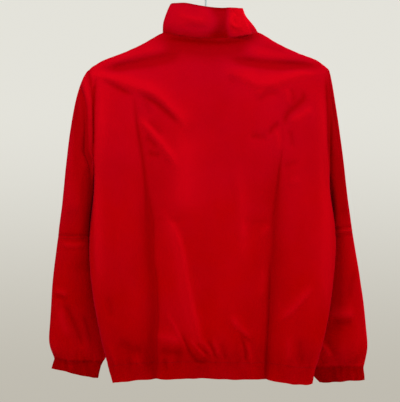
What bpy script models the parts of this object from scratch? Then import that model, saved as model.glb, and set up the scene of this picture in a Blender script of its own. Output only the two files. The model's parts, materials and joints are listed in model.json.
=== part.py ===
"""A zipped track jacket hanging on a plain hanger, as a Blender model at its real size.

Metres, +Z up. The origin is the point inside the top of the hook where a rail bears.
The jacket faces -Y, so its back faces +Y, and the wearer's left is +X.
Every cloth piece is a wall: a grid of outer points, the same grid moved inwards, and the
rims between them. Pieces that are sewn together share their edge points, a seam gap apart.
"""

import math
from collections import namedtuple

import bmesh
import bpy
from mathutils import Matrix, Vector

# ---------------------------------------------------------------- driving dimensions
JACKET_X = -0.010           # the jacket's centre plane, a little to one side of the hook's
WALL = 0.002                # thickness of every cloth wall
SEAM_GAP = 0.0003           # between two pieces that are sewn together
NEAR = 0.001                # two places less than this apart count as the same one
UNDERARM_Z = -0.425         # lowest point of both armholes
SHOULDER_TIP_Z = -0.197     # highest point of both armholes
NECK_HALF = 0.099           # from the centre to where the collar meets the shoulder
NECK_POINT_Z = -0.124
NECK_BACK_Z = -0.141        # centre back of the neck seam
NECK_FRONT_Z = -0.205       # centre front of the neck seam
NECK_BACK_Y = 0.030
NECK_FRONT_Y = -0.055
NECK_SHAPE = 2.4            # superellipse power of the neck seam, seen from above
SHOULDER_SLOPE = 0.60       # drop of the shoulder seam for each metre outwards, at the neck
SHOULDER_LEVEL = 1.1        # how fast the seam levels out towards its tip
SHOULDER_FLATTEN = 0.018    # length of the level stretch that ends the shoulder seam
SHOULDER_ROUND = 0.009      # how far the cloth stands out where it turns over the hanger
ROUND_SPAN = (0.085, 0.105) # from the centre: where that turn starts, and where it is whole
ROUND_LOSS = 0.6            # share of it that is gone where the body has its full depth
ROUND_EDGE_POWER = 16       # how sharply it ends at the armhole
BODY_EASE = 0.16            # below the shoulder seam, the body reaches its full depth here
EASE_POWER = 2.2
UNDERARM_BLEND = 0.02       # height over which the shoulders' forms end above the underarm
ARMHOLE_BACK = 0.034        # how far the armhole opens behind and in front of its seams
ARMHOLE_FRONT = 0.040
ARMHOLE_BLEND = 0.06        # width of the body's edge that the armhole's opening shapes
BODY_SHAPE_BACK = 2.6       # superellipse powers of the body's rings
BODY_SHAPE_FRONT = 2.0
HEM_HEIGHT = 0.030
SIDE_BY_SIDE = 0.004        # least gap between a sleeve and the body's side
FRONT_EDGE = 0.0045         # from the centre to each front's edge, where the zip shows

FOLD_DEPTH = 0.007          # the two long fold lines down the back
FOLD_WIDTH = 0.017
HOLLOW_DEPTH = 0.007        # the hollow under the hanger's arm, on both faces
HOLLOW_DROP = 0.040
HOLLOW_WIDTH = 0.017
HOLLOW_SPAN = (0.07, 0.11)  # from the centre: where the hollow starts, and where it is whole
HOLLOW_END = 0.03           # it fades out over this width before the side

COLLAR_HEIGHT_BACK = 0.0625
COLLAR_LIFT = 0.009         # how much higher the collar stands behind the left shoulder
COLLAR_LIFT_SPAN = (0.008, 0.053)   # from the centre: where that rise starts and ends
COLLAR_DROP = 0.03          # fall of its top edge for each metre towards the right shoulder
COLLAR_FALL = 0.058         # from the back of the collar's top edge to its front
COLLAR_FALL_SPAN = (0.020, -0.063)  # depths between which it falls
COLLAR_SHAPE_TOP = 3.4

HOOK_WIRE = 0.0045          # diameter of the hook's wire
HOOK_RADIUS = 0.020         # of the wire's centreline
HOOK_TIP = math.radians(195)        # where the hook's free end stands on its circle
HOOK_TURN = math.radians(55)        # how far under the level of its centre the circle goes on
HOOK_STEPS = 18
TUBE_RESOLUTION = 2         # of the roundness of the hook's and the hanger's tubes
NECK_STEPS = 6              # of the bend that leads from the hook down to the hanger
ARM_DIAMETER = 0.011        # of the hanger's tube
ARM_REACH = 0.192           # from the centre to each end of the hanger
ARM_CLEARANCE = 0.0012      # between the tube and the shoulders' inside
ARM_SLOPE = 0.50            # drop of the arms for each metre outwards
ARM_STEPS = 24
CROWN_Z = -0.108            # top of the hanger's tube at its centre
CROWN_ROUND = 0.10          # half the width over which the crown is rounded
CROWN_SPAN = (0.06, 0.11)   # from the centre: where the arms start to follow the shoulders

TAPE_GAP = 0.0006           # from the centre to each tape's edge
TAPE_WIDTH = 0.014
TAPE_THICKNESS = 0.0008
TAPE_DEPTH = 0.0006         # from the walls' insides to the tapes
CHAIN_WIDTH = 0.0058
CHAIN_THICKNESS = 0.0016
CHAIN_DEPTH = 0.0002        # of the chain's face under the fronts' faces
CHAIN_STEP = 0.004          # least distance between the points of its line and its two ends
SLIDER_DOWN = 0.004         # from the collar's top edge to the slider
SLIDER_LENGTH = 0.010
SLIDER_WIDTH = 0.0085
SLIDER_FOOT = 0.0060        # width of its lower end
SLIDER_CORNER = 0.0012
SLIDER_PLATE = 0.0014
SLIDER_STAND = 0.0003       # from the fronts' faces to the slider's plate
ARCH_WINDOW = 0.0028        # opening of the slider's arch, both ways
ARCH_THICKNESS = 0.0009
ARCH_WIDTH = 0.0018
PULL_LENGTH = 0.026
PULL_WIDTH = 0.0070
PULL_THICKNESS = 0.0014
PULL_CORNER = 0.0012
NECK_WIDTH = 0.0052         # of the pull tab's upper end, round its eye
NECK_FOOT = 0.0052          # from the tab's axis down to where it starts to widen
NECK_FLARE = 0.0075         # and down to where it has its full width
EYE_BAR = 0.0012            # height of the bar at the top of the pull tab
EYE_LENGTH = 0.0032
EYE_WIDTH = 0.0030
ZIP_BOX = (0.0078, 0.0021, 0.0095)  # the block that the chain's foot slots into

Level = namedtuple("Level", "z left right back front")
BODY_LEVELS = (
    #     height   half widths    depths
    Level(-0.831, 0.199, 0.207, 0.041, 0.046),
    Level(-0.785, 0.214, 0.220, 0.049, 0.054),
    Level(-0.700, 0.232, 0.239, 0.058, 0.062),
    Level(-0.600, 0.246, 0.251, 0.060, 0.066),
    Level(-0.530, 0.247, 0.254, 0.059, 0.066),
    Level(-0.440, 0.238, 0.242, 0.055, 0.063),
    Level(-0.370, 0.236, 0.239, 0.050, 0.058),
    Level(-0.300, 0.236, 0.240, 0.044, 0.052),
    Level(-0.245, 0.238, 0.240, 0.038, 0.046),
    Level(-0.197, 0.245, 0.239, 0.034, 0.042),
    Level(-0.120, 0.245, 0.239, 0.030, 0.038),
)

Hem = namedtuple("Hem", "x z")
HEM_LINE = (
    Hem(-0.207, -0.835),
    Hem(-0.190, -0.836),
    Hem(-0.155, -0.831),
    Hem(-0.115, -0.823),
    Hem(-0.050, -0.821),
    Hem(0.042, -0.819),
    Hem(0.110, -0.822),
    Hem(0.147, -0.824),
    Hem(0.198, -0.834),
)

FoldLine = namedtuple("FoldLine", "z left right neck_line depth")
FOLD_LINES = (
    #        height    fold from the centre   line under the neck point   share of depth
    FoldLine(-0.831, 0.117, 0.109, 0.075, 1.0),
    FoldLine(-0.700, 0.119, 0.116, 0.080, 1.1),
    FoldLine(-0.545, 0.123, 0.123, 0.085, 0.9),
    FoldLine(-0.425, 0.132, 0.134, 0.090, 0.8),
    FoldLine(-0.300, 0.144, 0.146, 0.095, 0.7),
    FoldLine(-0.230, 0.156, 0.157, 0.099, 0.2),
    FoldLine(-0.120, 0.162, 0.162, 0.099, 0.0),
)

Section = namedtuple("Section", "z outer y long short turn tilt")
SLEEVES = {
    # Oval rings from the underarm to the cuff's end: height, how far out they reach, depth
    # of the centre, half axes, degrees the long axis is turned back, rise of the outer end.
    "left": (
        Section(-0.470, 0.300, -0.024, 0.070, 0.027, 80, 0.000),
        Section(-0.540, 0.311, -0.040, 0.066, 0.033, 65, 0.002),
        Section(-0.630, 0.325, -0.052, 0.061, 0.041, 45, 0.004),
        Section(-0.710, 0.332, -0.060, 0.062, 0.037, 22, 0.004),
        Section(-0.762, 0.336, -0.064, 0.064, 0.030, 12, 0.004),
        Section(-0.784, 0.333, -0.065, 0.059, 0.026, 8, 0.003),
        Section(-0.797, 0.328, -0.065, 0.052, 0.021, 6, 0.003),
        Section(-0.825, 0.333, -0.065, 0.048, 0.020, 4, 0.011),
    ),
    "right": (
        Section(-0.470, 0.279, -0.046, 0.068, 0.018, 72, 0.000),
        Section(-0.540, 0.292, -0.058, 0.064, 0.026, 60, 0.000),
        Section(-0.630, 0.309, -0.060, 0.062, 0.037, 42, 0.001),
        Section(-0.715, 0.322, -0.064, 0.061, 0.037, 20, 0.001),
        Section(-0.775, 0.327, -0.065, 0.062, 0.030, 10, 0.001),
        Section(-0.798, 0.326, -0.066, 0.056, 0.026, 7, 0.001),
        Section(-0.811, 0.320, -0.066, 0.048, 0.021, 5, 0.001),
        Section(-0.841, 0.323, -0.066, 0.046, 0.020, 3, 0.003),
    ),
}
CAP_PUFF = 0.006            # how far the sleeve stands out all round the armhole
CAP_BEND_BACK = 0.3         # shares of the way to the first ring at which the sleeve head
CAP_BEND_TOP = 0.10         # turns down: towards the ring's depth, and in height at the top
CAP_BEND_UNDER = 0.40       # and at the underarm
CAP_SPACING = 1.3           # its rows of points are this power closer near the armhole
CAP_REACH = {"left": 0.032, "right": 0.006}     # how far each sleeve head stands out
# How far the underarm seam is turned back round the sleeve, since the sleeves hang forward.
UNDERARM_SKEW = {"left": math.radians(25), "right": math.radians(38)}
ELBOW_Z = {"left": -0.533, "right": -0.520}     # the seam across each sleeve
CUFF_TOP_Z = {"left": -0.797, "right": -0.811}
CUFF_END_Z = {"left": -0.825, "right": -0.841}

CollarRow = namedtuple("CollarRow", "rise left right back front")
COLLAR_ROWS = (
    # share of the height, half widths, depths behind and in front of the origin
    CollarRow(0.00, 0.099, 0.099, 0.030, 0.055),
    CollarRow(0.33, 0.098, 0.093, 0.035, 0.058),
    CollarRow(0.66, 0.093, 0.083, 0.037, 0.061),
    CollarRow(1.00, 0.085, 0.071, 0.037, 0.063),
)

# Where the columns of points run, as shares of three strips: the centre to the line under
# the neck point, on to the fold line, and on to the side.
NECK_STRIP = (0.25, 0.50, 0.75, 0.92, 1.00)
FOLD_STRIP = (0.45, 0.80, 1.00)
SIDE_STRIP = (0.16, 0.40, 0.68, 0.90, 1.00)
# Rows from the shoulder and neck seams down to the underarm, and on to the hem.
UPPER_ROWS = (0.0, 0.012, 0.05, 0.12, 0.20, 0.30, 0.41, 0.52, 0.64, 0.76, 0.88, 1.0)
LOWER_ROW_COUNT = 8
# Rows of the sleeves: over the sleeve head, on to the elbow seam, on to the cuff, and down it.
CAP_ROWS = 6
UPPER_SLEEVE_ROWS = 3
LOWER_SLEEVE_ROWS = 8
CUFF_ROWS = 2

CLOTH = (0.52, 0.002, 0.012, 1.0)
STEEL = (0.72, 0.74, 0.76, 1.0)
PLASTIC = (0.80, 0.81, 0.80, 1.0)
COIL = (0.42, 0.002, 0.010, 1.0)


# ---------------------------------------------------------------- small helpers
def clear_scene():
    for obj in list(bpy.data.objects):
        bpy.data.objects.remove(obj)


def material(name, colour, roughness, metallic=0.0):
    made = bpy.data.materials.new(name)
    made.use_nodes = True
    shader = made.node_tree.nodes["Principled BSDF"]
    shader.inputs["Base Color"].default_value = colour
    shader.inputs["Roughness"].default_value = roughness
    shader.inputs["Metallic"].default_value = metallic
    return made


def profile(rows, at, key, wanted):
    """A smooth curve through one column of a table, read at a value of another column."""
    rows = sorted(rows, key=lambda row: getattr(row, key))
    places = [getattr(row, key) for row in rows]
    values = [getattr(row, wanted) for row in rows]
    at = min(max(at, places[0]), places[-1])
    i = max(n for n in range(len(places) - 1) if places[n] <= at or n == 0)
    slopes = []
    for n in (i, i + 1):
        before, after = max(n - 1, 0), min(n + 1, len(rows) - 1)
        slopes.append((values[after] - values[before]) / (places[after] - places[before]))
    length = places[i + 1] - places[i]
    t = (at - places[i]) / length
    return (
        values[i] * (2 * t**3 - 3 * t**2 + 1)
        + slopes[0] * length * (t**3 - 2 * t**2 + t)
        + values[i + 1] * (3 * t**2 - 2 * t**3)
        + slopes[1] * length * (t**3 - t**2)
    )


def smooth(t):
    t = min(max(t, 0.0), 1.0)
    return t * t * (3 - 2 * t)


def ramp(at, start, end):
    """0 at the start and 1 at the end, smooth between them."""
    return smooth((at - start) / (end - start))


def bump(distance, width):
    return math.exp(-((distance / width) ** 2))


def side_name(side):
    return "left" if side > 0 else "right"


def moved(points, **by):
    shift = Vector((by.get("x", 0), by.get("y", 0), by.get("z", 0)))
    return [p + shift for p in points]


def halfway(a, b):
    return (a + b) / 2


# ---------------------------------------------------------------- the body's form
def half_width(side, z):
    return profile(BODY_LEVELS, z, "z", side_name(side))


def body_depth(face, z):
    return profile(BODY_LEVELS, z, "z", face)


def hem_z(x):
    return profile(HEM_LINE, x, "x", "z")


def seam_z(face, x):
    """Height of the neck seam or, beyond the neck point, of the shoulder seam."""
    out = abs(x)
    if out < NECK_HALF:
        lowest = NECK_BACK_Z if face == "back" else NECK_FRONT_Z
        return lowest + (NECK_POINT_Z - lowest) * (out / NECK_HALF) ** 2
    tip = half_width(1 if x > 0 else -1, SHOULDER_TIP_Z)
    drop = SHOULDER_TIP_Z - shoulder_z(tip)
    return shoulder_z(out) + drop * ramp(out, tip - SHOULDER_FLATTEN, tip)


def shoulder_z(out):
    past = out - NECK_HALF
    return NECK_POINT_Z - SHOULDER_SLOPE * past + SHOULDER_LEVEL * past**2


def seam_y(face, x):
    """Depth of the neck seam, which is 0 along the shoulder seam."""
    q = min(abs(x) / NECK_HALF, 1.0)
    depth = NECK_BACK_Y if face == "back" else NECK_FRONT_Y
    return depth * (1 - q**NECK_SHAPE) ** (1 / NECK_SHAPE)


def armhole_opening(face, z):
    rise = (z - UNDERARM_Z) / (SHOULDER_TIP_Z - UNDERARM_Z)
    if rise <= 0 or rise >= 1:
        return 0.0
    widest = ARMHOLE_BACK if face == "back" else ARMHOLE_FRONT
    return widest * math.sqrt(math.sin(math.pi * rise))


def column_x(side, strip, share, z):
    """Where a column of points runs at a height: a share of the way across one strip."""
    lines = (
        0.0,
        profile(FOLD_LINES, z, "z", "neck_line"),
        profile(FOLD_LINES, z, "z", side_name(side)),
        half_width(side, z),
    )
    return side * (lines[strip] + share * (lines[strip + 1] - lines[strip]))


def body_y(face, x, z):
    """Distance of the body's outer surface from the plane of its side seams."""
    side = 1 if x > 0 else -1
    out, half = abs(x), half_width(side, z)
    shape = BODY_SHAPE_BACK if face == "back" else BODY_SHAPE_FRONT
    q = min(out / half, 1.0)
    ring = body_depth(face, z) * (1 - q**shape) ** (1 / shape)

    below = seam_z(face, x) - z
    ease = 1 - (1 - min(below / BODY_EASE, 1.0)) ** EASE_POWER
    start = abs(seam_y(face, x))
    turn = SHOULDER_ROUND * ramp(out, *ROUND_SPAN) * (1 - ROUND_LOSS * ramp(below, 0, BODY_EASE))
    over = turn * math.sqrt(1 - (1 - min(below / SHOULDER_ROUND, 1.0)) ** 2)
    over *= (1 - q**ROUND_EDGE_POWER) * ramp(z, UNDERARM_Z, UNDERARM_Z + UNDERARM_BLEND)
    hollow = HOLLOW_DEPTH * bump(below - HOLLOW_DROP, HOLLOW_WIDTH)
    hollow *= ramp(out, *HOLLOW_SPAN) * (1 - ramp(out, half - HOLLOW_END, half))
    fold = 0.0
    if face == "back":
        line = profile(FOLD_LINES, z, "z", side_name(side))
        fold = FOLD_DEPTH * profile(FOLD_LINES, z, "z", "depth") * bump(out - line, FOLD_WIDTH)
    panel = max(start + (ring - start) * ease + over - hollow - fold, 0.0)
    sleeve = armhole_opening(face, z) * ramp(out, half - ARMHOLE_BLEND, half)
    return (panel**3 + sleeve**3) ** (1 / 3)


def body_column(face, side, strip, share):
    """Outer points down one column, from the neck or shoulder seam to the top of the hem."""
    top_x = column_x(side, strip, share, NECK_POINT_Z)
    if face == "front" and abs(top_x) < FRONT_EDGE:
        top_x = side * FRONT_EDGE
    top = seam_z(face, top_x)
    bottom = hem_z(column_x(side, strip, share, BODY_LEVELS[0].z)) + HEM_HEIGHT
    heights = [top + (UNDERARM_Z - top) * share_down for share_down in UPPER_ROWS]
    heights += [
        UNDERARM_Z + (bottom - UNDERARM_Z) * (row + 1) / LOWER_ROW_COUNT
        for row in range(LOWER_ROW_COUNT)
    ]
    away = 1 if face == "back" else -1
    points = []
    for row, z in enumerate(heights):
        x = top_x if row == 0 else column_x(side, strip, share, z)
        if face == "front" and abs(x) < FRONT_EDGE:
            x = side * FRONT_EDGE
        y = seam_y(face, x) if row == 0 else away * body_y(face, x, z)
        points.append(Vector((x, y, z)))
    return points


def columns(side):
    """(strip, share) of every column from just off the centre to the side seam."""
    strips = (NECK_STRIP, FOLD_STRIP, SIDE_STRIP)
    return [(strip, share) for strip, shares in enumerate(strips) for share in shares]


NECK_COLUMNS = len(NECK_STRIP)
ARMHOLE_ROWS = len(UPPER_ROWS)


# ---------------------------------------------------------------- walls from grids
def normals_of(grid, closed):
    """Unit normals of a grid[column][row] of points, pointing to the grid's outer side."""
    count, rows = len(grid), len(grid[0])
    found = []
    for c in range(count):
        line = []
        for r in range(rows):
            left = grid[c - 1] if c or closed else grid[c]
            right = grid[(c + 1) % count] if c < count - 1 or closed else grid[c]
            up, down = grid[c][max(r - 1, 0)], grid[c][min(r + 1, rows - 1)]
            line.append((right[r] - left[r]).cross(up - down).normalized())
        found.append(line)
    return found


def inner_of(grid, closed=False):
    """The grid moved inwards by the wall, with level rims at its first and last rows."""
    inner = []
    for points, normals in zip(grid, normals_of(grid, closed)):
        line = []
        for row, (p, n) in enumerate(zip(points, normals)):
            if row in (0, len(points) - 1):
                n = Vector((n.x, n.y, 0)).normalized()
            line.append(p - n * WALL)
        inner.append(line)
    return inner


def wall(name, outer, inner, finish, closed=False):
    """One closed body between two grids[column][row] of the same size."""
    bm = bmesh.new()
    skins = [[[bm.verts.new(p) for p in line] for line in grid] for grid in (outer, inner)]
    count, rows = len(outer), len(outer[0])
    last = count if closed else count - 1
    for c in range(last):
        d = (c + 1) % count
        for r in range(rows - 1):
            for skin in skins:
                bm.faces.new([skin[c][r], skin[c][r + 1], skin[d][r + 1], skin[d][r]])
        for r in (0, rows - 1):
            bm.faces.new([skins[0][c][r], skins[0][d][r], skins[1][d][r], skins[1][c][r]])
    if not closed:
        for c in (0, count - 1):
            for r in range(rows - 1):
                bm.faces.new([skins[0][c][r], skins[0][c][r + 1],
                              skins[1][c][r + 1], skins[1][c][r]])
    bmesh.ops.recalc_face_normals(bm, faces=bm.faces)
    return mesh_object(name, bm, finish)


def mesh_object(name, bm, finish):
    mesh = bpy.data.meshes.new(name)
    bm.to_mesh(mesh)
    bm.free()
    mesh.materials.append(finish)
    obj = bpy.data.objects.new(name, mesh)
    bpy.context.scene.collection.objects.link(obj)
    mesh.shade_smooth()
    return obj


# ---------------------------------------------------------------- the body's panels
def armhole_rim(side, back_edge, front_edge):
    """The armhole's loop of outer points, down its back and up its front, and the inner
    points of the body's wall there."""
    back, front = back_edge[:ARMHOLE_ROWS], front_edge[:ARMHOLE_ROWS]
    loop = [halfway(back[0], front[0])] + back[1:-1]
    loop += [halfway(back[-1], front[-1])] + front[-2:0:-1]
    middle = (SHOULDER_TIP_Z + UNDERARM_Z) / 2
    inner = []
    for n, point in enumerate(loop):
        run = loop[(n + 1) % len(loop)] - loop[n - 1]
        inward = Vector((0, run.z, -run.y)).normalized()
        if inward.dot(Vector((0, -point.y, middle - point.z))) < 0:
            inward = -inward
        under = math.sin(math.pi * n / len(loop)) ** 6
        way = inward * (1 - under) - Vector((side * under, 0, 0))
        inner.append(point + way.normalized() * WALL)
    return loop, inner


def panel_inner(face, grid):
    """Inner points of a front or the back. Neither crosses the plane of the side seams."""
    inner = inner_of(grid)
    away = 1 if face == "back" else -1
    for points, line in zip(grid, inner):
        out = abs(points[0].x)
        if out > NECK_HALF + NEAR:
            line[0] = points[0] - Vector((0, 0, WALL))
        elif out > NECK_HALF - NEAR:
            side = 1 if points[0].x > 0 else -1
            line[0] = points[0] - Vector((side * WALL, 0, WALL / 2))
    keep_off_seam(away, inner)
    return inner


def keep_off_seam(away, grid):
    least = SEAM_GAP / 2
    for line in grid:
        for point in line:
            point.y = away * max(away * point.y, least)


def panel_grids():
    """Outer and inner grids of the back and the two fronts, with their armhole rims."""
    centre = [Vector((0, p.y, p.z)) for p in body_column("back", 1, 0, 0.0)]
    halves = {
        (face, side): [body_column(face, side, *column) for column in columns(side)]
        for face in ("back", "front")
        for side in (1, -1)
    }
    outer = {
        "back": halves["back", -1][::-1] + [centre] + halves["back", 1],
        "front_left": [body_column("front", 1, 0, 0.0)] + halves["front", 1],
        "front_right": halves["front", -1][::-1] + [body_column("front", -1, 0, 0.0)],
    }
    for name, grid in outer.items():
        keep_off_seam(1 if name == "back" else -1, grid)
    # Seen from outside, the back's columns run from its right to its left.
    outer["back"].reverse()
    inner = {
        name: panel_inner("back" if name == "back" else "front", grid)
        for name, grid in outer.items()
    }
    rims = {}
    edges = {1: ("back", 0, "front_left", -1), -1: ("back", -1, "front_right", 0)}
    for side, (back, b, front, f) in edges.items():
        rims[side], inside = armhole_rim(side, outer[back][b], outer[front][f])
        last = ARMHOLE_ROWS - 1
        for row in range(1, last):
            inner[back][b][row] = inside[row].copy()
            inner[front][f][row] = inside[-row].copy()
        for row, n in ((0, 0), (last, last)):
            for name, column, away in ((back, b, 1), (front, f, -1)):
                point = inside[n].copy()
                point.y = away * SEAM_GAP / 2
                inner[name][column][row] = point
    return outer, inner, rims


def ring_between(outer, inner, row):
    """One row of points right round the body, from one front edge to the other."""
    rings = []
    for grids in (outer, inner):
        left = [line[row] for line in grids["front_left"]]
        back = [line[row] for line in grids["back"]]
        right = [line[row] for line in grids["front_right"]]
        rings.append(left[:-1] + [halfway(left[-1], back[0])] + back[1:-1]
                     + [halfway(back[-1], right[0])] + right[1:])
    return rings


# ---------------------------------------------------------------- hem and collar
def hem_band(outer, inner, finish):
    top_outer, top_inner = ring_between(outer, inner, -1)
    grid, inside = [], []
    for point, deep in zip(top_outer, top_inner):
        line, deep_line = [], []
        for share in (0.0, 0.5, 1.0):
            z = point.z - HEM_HEIGHT * share
            side = 1 if point.x > 0 else -1
            face = "back" if point.y > 0 else "front"
            x = point.x * half_width(side, z) / half_width(side, point.z)
            y = point.y * body_depth(face, z) / body_depth(face, point.z)
            line.append(Vector((x, y, z)))
            deep_line.append(Vector((x, y, z)) + (deep - point))
        grid.append(line)
        inside.append(deep_line)
    drop = -SEAM_GAP
    grid = [moved(line, z=drop) for line in grid]
    inside = [moved(line, z=drop) for line in inside]
    wall("hem_band", grid, inside, finish)
    return grid, inside


def collar_point(share, base):
    """A point of the collar above a point of the neck seam."""
    side = side_name(1 if base.x > 0 else -1)
    face = "back" if base.y > 0 else "front"
    q = min(abs(base.x) / NECK_HALF, 1.0)
    angle = math.acos(min(q ** (NECK_SHAPE / 2), 1.0))
    shape = NECK_SHAPE + (COLLAR_SHAPE_TOP - NECK_SHAPE) * share
    width = profile(COLLAR_ROWS, share, "rise", side)
    depth = profile(COLLAR_ROWS, share, "rise", face)
    x = math.copysign(width * math.cos(angle) ** (2 / shape), base.x)
    y = depth * math.sin(angle) ** (2 / shape)
    return Vector((x, y if face == "back" else -y, 0))


def collar_top_z(x, y):
    """The collar's upper edge: nearly level round the back, falling away to the front."""
    back = NECK_BACK_Z + COLLAR_HEIGHT_BACK + COLLAR_LIFT * ramp(x, *COLLAR_LIFT_SPAN)
    return back + COLLAR_DROP * min(x, 0) - COLLAR_FALL * ramp(y, *COLLAR_FALL_SPAN)


def collar(outer, inner, finish):
    base_outer, base_inner = collar_base(outer), collar_base(inner)
    rows = len(COLLAR_ROWS)
    grid = []
    for base in base_outer:
        top = collar_point(1.0, base)
        top_z = collar_top_z(top.x, top.y)
        line = []
        for row in range(rows):
            share = 1 - row / (rows - 1)
            point = collar_point(share, base)
            if abs(base.x) < FRONT_EDGE + NEAR and base.y < 0:
                point.x = base.x
            point.z = base.z + (top_z - base.z) * share
            line.append(point)
        line[-1] = base.copy()
        grid.append(line)
    inside = inner_of(grid)
    for line, base in zip(inside, base_inner):
        line[-1] = Vector((base.x, base.y, line[-1].z))
    for ring in (grid, inside):
        for line in ring:
            line[:] = moved(line, z=SEAM_GAP)
    wall("collar", grid, inside, finish)
    return grid, inside


def collar_base(grids):
    """The neck seam from one front edge round the back to the other."""
    left = [line[0] for line in grids["front_left"][: NECK_COLUMNS + 1]]
    right = [line[0] for line in grids["front_right"][-NECK_COLUMNS - 1:]]
    middle = len(grids["back"]) // 2
    back = [line[0] for line in grids["back"][middle - NECK_COLUMNS: middle + NECK_COLUMNS + 1]]
    return (left[:-1] + [halfway(left[-1], back[0])] + back[1:-1]
            + [halfway(back[-1], right[0])] + right[1:])


# ---------------------------------------------------------------- sleeves
def clear_of_body(point, clearance):
    """A sleeve's point, moved out if need be to hang beside the body and not in it."""
    side = 1 if point.x > 0 else -1
    face, shape = ("back", BODY_SHAPE_BACK) if point.y > 0 else ("front", BODY_SHAPE_FRONT)
    opening = armhole_opening(face, point.z)
    deep = max(abs(point.y) - opening, 0) / (body_depth(face, point.z) + clearance - opening)
    deep = min(deep, 1.0)
    wide = half_width(side, point.z) + clearance
    edge = wide * (1 - deep**shape) ** (1 / shape)
    return Vector((side * max(abs(point.x), edge), point.y, point.z))


def sleeve_ring(side, z, count):
    """Outer points of one ring, from the sleeve's outer side round its back."""
    rows = SLEEVES[side_name(side)]
    outer, centre_y, long, short, turn, tilt = (
        profile(rows, z, "z", key) for key in ("outer", "y", "long", "short", "turn", "tilt")
    )
    turn = math.radians(turn)
    reach = math.hypot(long * math.cos(turn), short * math.sin(turn))
    ring = []
    for n in range(count):
        angle = 2 * math.pi * n / count
        angle -= UNDERARM_SKEW[side_name(side)] * math.sin(angle / 2) ** 2
        along, across = long * math.cos(angle - turn), short * math.sin(angle - turn)
        out = along * math.cos(turn) - across * math.sin(turn)
        back = along * math.sin(turn) + across * math.cos(turn)
        x, y = side * (outer - reach + out), centre_y + back
        ring.append(clear_of_body(Vector((x, y, z + tilt * out / reach)), SIDE_BY_SIDE))
    return ring


def sleeve_cap(side, loop):
    """Rows from the armhole over the sleeve head to its first whole ring."""
    name = side_name(side)
    count = len(loop)
    ring = sleeve_ring(side, SLEEVES[name][0].z, count)
    grid = []
    for n, (start, end) in enumerate(zip(loop, ring)):
        half = math.pi * n / count
        over, under = math.cos(half) ** 2, math.sin(half) ** 2
        bend = Vector((
            start.x + side * (CAP_PUFF + CAP_REACH[name] * over) + (end.x - start.x) * under / 2,
            start.y + CAP_BEND_BACK * (end.y - start.y),
            start.z + (CAP_BEND_TOP * over + CAP_BEND_UNDER * under) * (end.z - start.z),
        ))
        line = []
        for row in range(CAP_ROWS + 1):
            t = (row / CAP_ROWS) ** CAP_SPACING
            point = start * (1 - t) ** 2 + bend * 2 * t * (1 - t) + end * t * t
            line.append(clear_of_body(point, SIDE_BY_SIDE * smooth(2 * t)) if row else point)
        grid.append(line)
    return grid


def lengthen(grid, side, start_z, end_z, rows):
    for row in range(1, rows + 1):
        z = start_z + (end_z - start_z) * row / rows
        for line, point in zip(grid, sleeve_ring(side, z, len(grid))):
            line.append(point)


def sleeve_inner(side, grid):
    """Inner points of a piece of sleeve. It stays on its own side of its first row."""
    turned = grid if side > 0 else grid[::-1]
    inner = inner_of(turned, closed=True)
    for line, points, normals in zip(inner, turned, normals_of(turned, closed=True)):
        line[0] = points[0] - normals[0] * WALL
        line[0].x = side * max(side * line[0].x, side * points[0].x)
    return inner if side > 0 else inner[::-1]


def sleeve_pieces(side, loop, cloth):
    """Upper sleeve, lower sleeve and cuff, each a closed ring of wall."""
    name = side_name(side)
    upper = sleeve_cap(side, moved(loop, x=side * SEAM_GAP))
    lengthen(upper, side, SLEEVES[name][0].z, ELBOW_Z[name], UPPER_SLEEVE_ROWS)
    lower = [[line[-1]] for line in upper]
    lengthen(lower, side, ELBOW_Z[name], CUFF_TOP_Z[name], LOWER_SLEEVE_ROWS)
    cuff = [[line[-1]] for line in lower]
    lengthen(cuff, side, CUFF_TOP_Z[name], CUFF_END_Z[name], CUFF_ROWS)

    seam = None
    pieces = (("sleeve_upper", upper), ("sleeve_lower", lower), ("cuff", cuff))
    for seams_above, (piece, grid) in enumerate(pieces):
        inner = sleeve_inner(side, grid)
        if seam:
            for line, point in zip(inner, seam):
                line[0] = point
        seam = [line[-1].copy() for line in inner]
        drop = -SEAM_GAP * seams_above
        skins = [[moved(line, z=drop) for line in skin] for skin in (grid, inner)]
        wall(f"{piece}_{name}", *skins, cloth, closed=True)


# ---------------------------------------------------------------- hanger
def tube(name, points, diameter, resolution, finish):
    curve = bpy.data.curves.new(name, "CURVE")
    curve.dimensions = "3D"
    curve.bevel_depth = diameter / 2
    curve.bevel_resolution = resolution
    curve.use_fill_caps = True
    spline = curve.splines.new("POLY")
    spline.points.add(len(points) - 1)
    for target, point in zip(spline.points, points):
        target.co = (*point, 1.0)
    curve.materials.append(finish)
    obj = bpy.data.objects.new(name, curve)
    bpy.context.scene.collection.objects.link(obj)
    return obj


def arm_centre(x):
    """Height of the tube's centreline: under its crown, then under the shoulder seam."""
    across = x - JACKET_X
    seam = seam_z("back", math.copysign(max(abs(across), NECK_HALF), across))
    shoulder = seam - WALL - ARM_CLEARANCE - ARM_DIAMETER / 2 * math.hypot(1, ARM_SLOPE)
    crown = CROWN_Z - ARM_DIAMETER / 2 - ARM_SLOPE * abs(x) * ramp(abs(x), 0, CROWN_ROUND)
    return crown + (shoulder - crown) * ramp(abs(x), *CROWN_SPAN)


def on_circle(radius, angle):
    return Vector((radius * math.cos(angle), 0, radius * math.sin(angle)))


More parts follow.
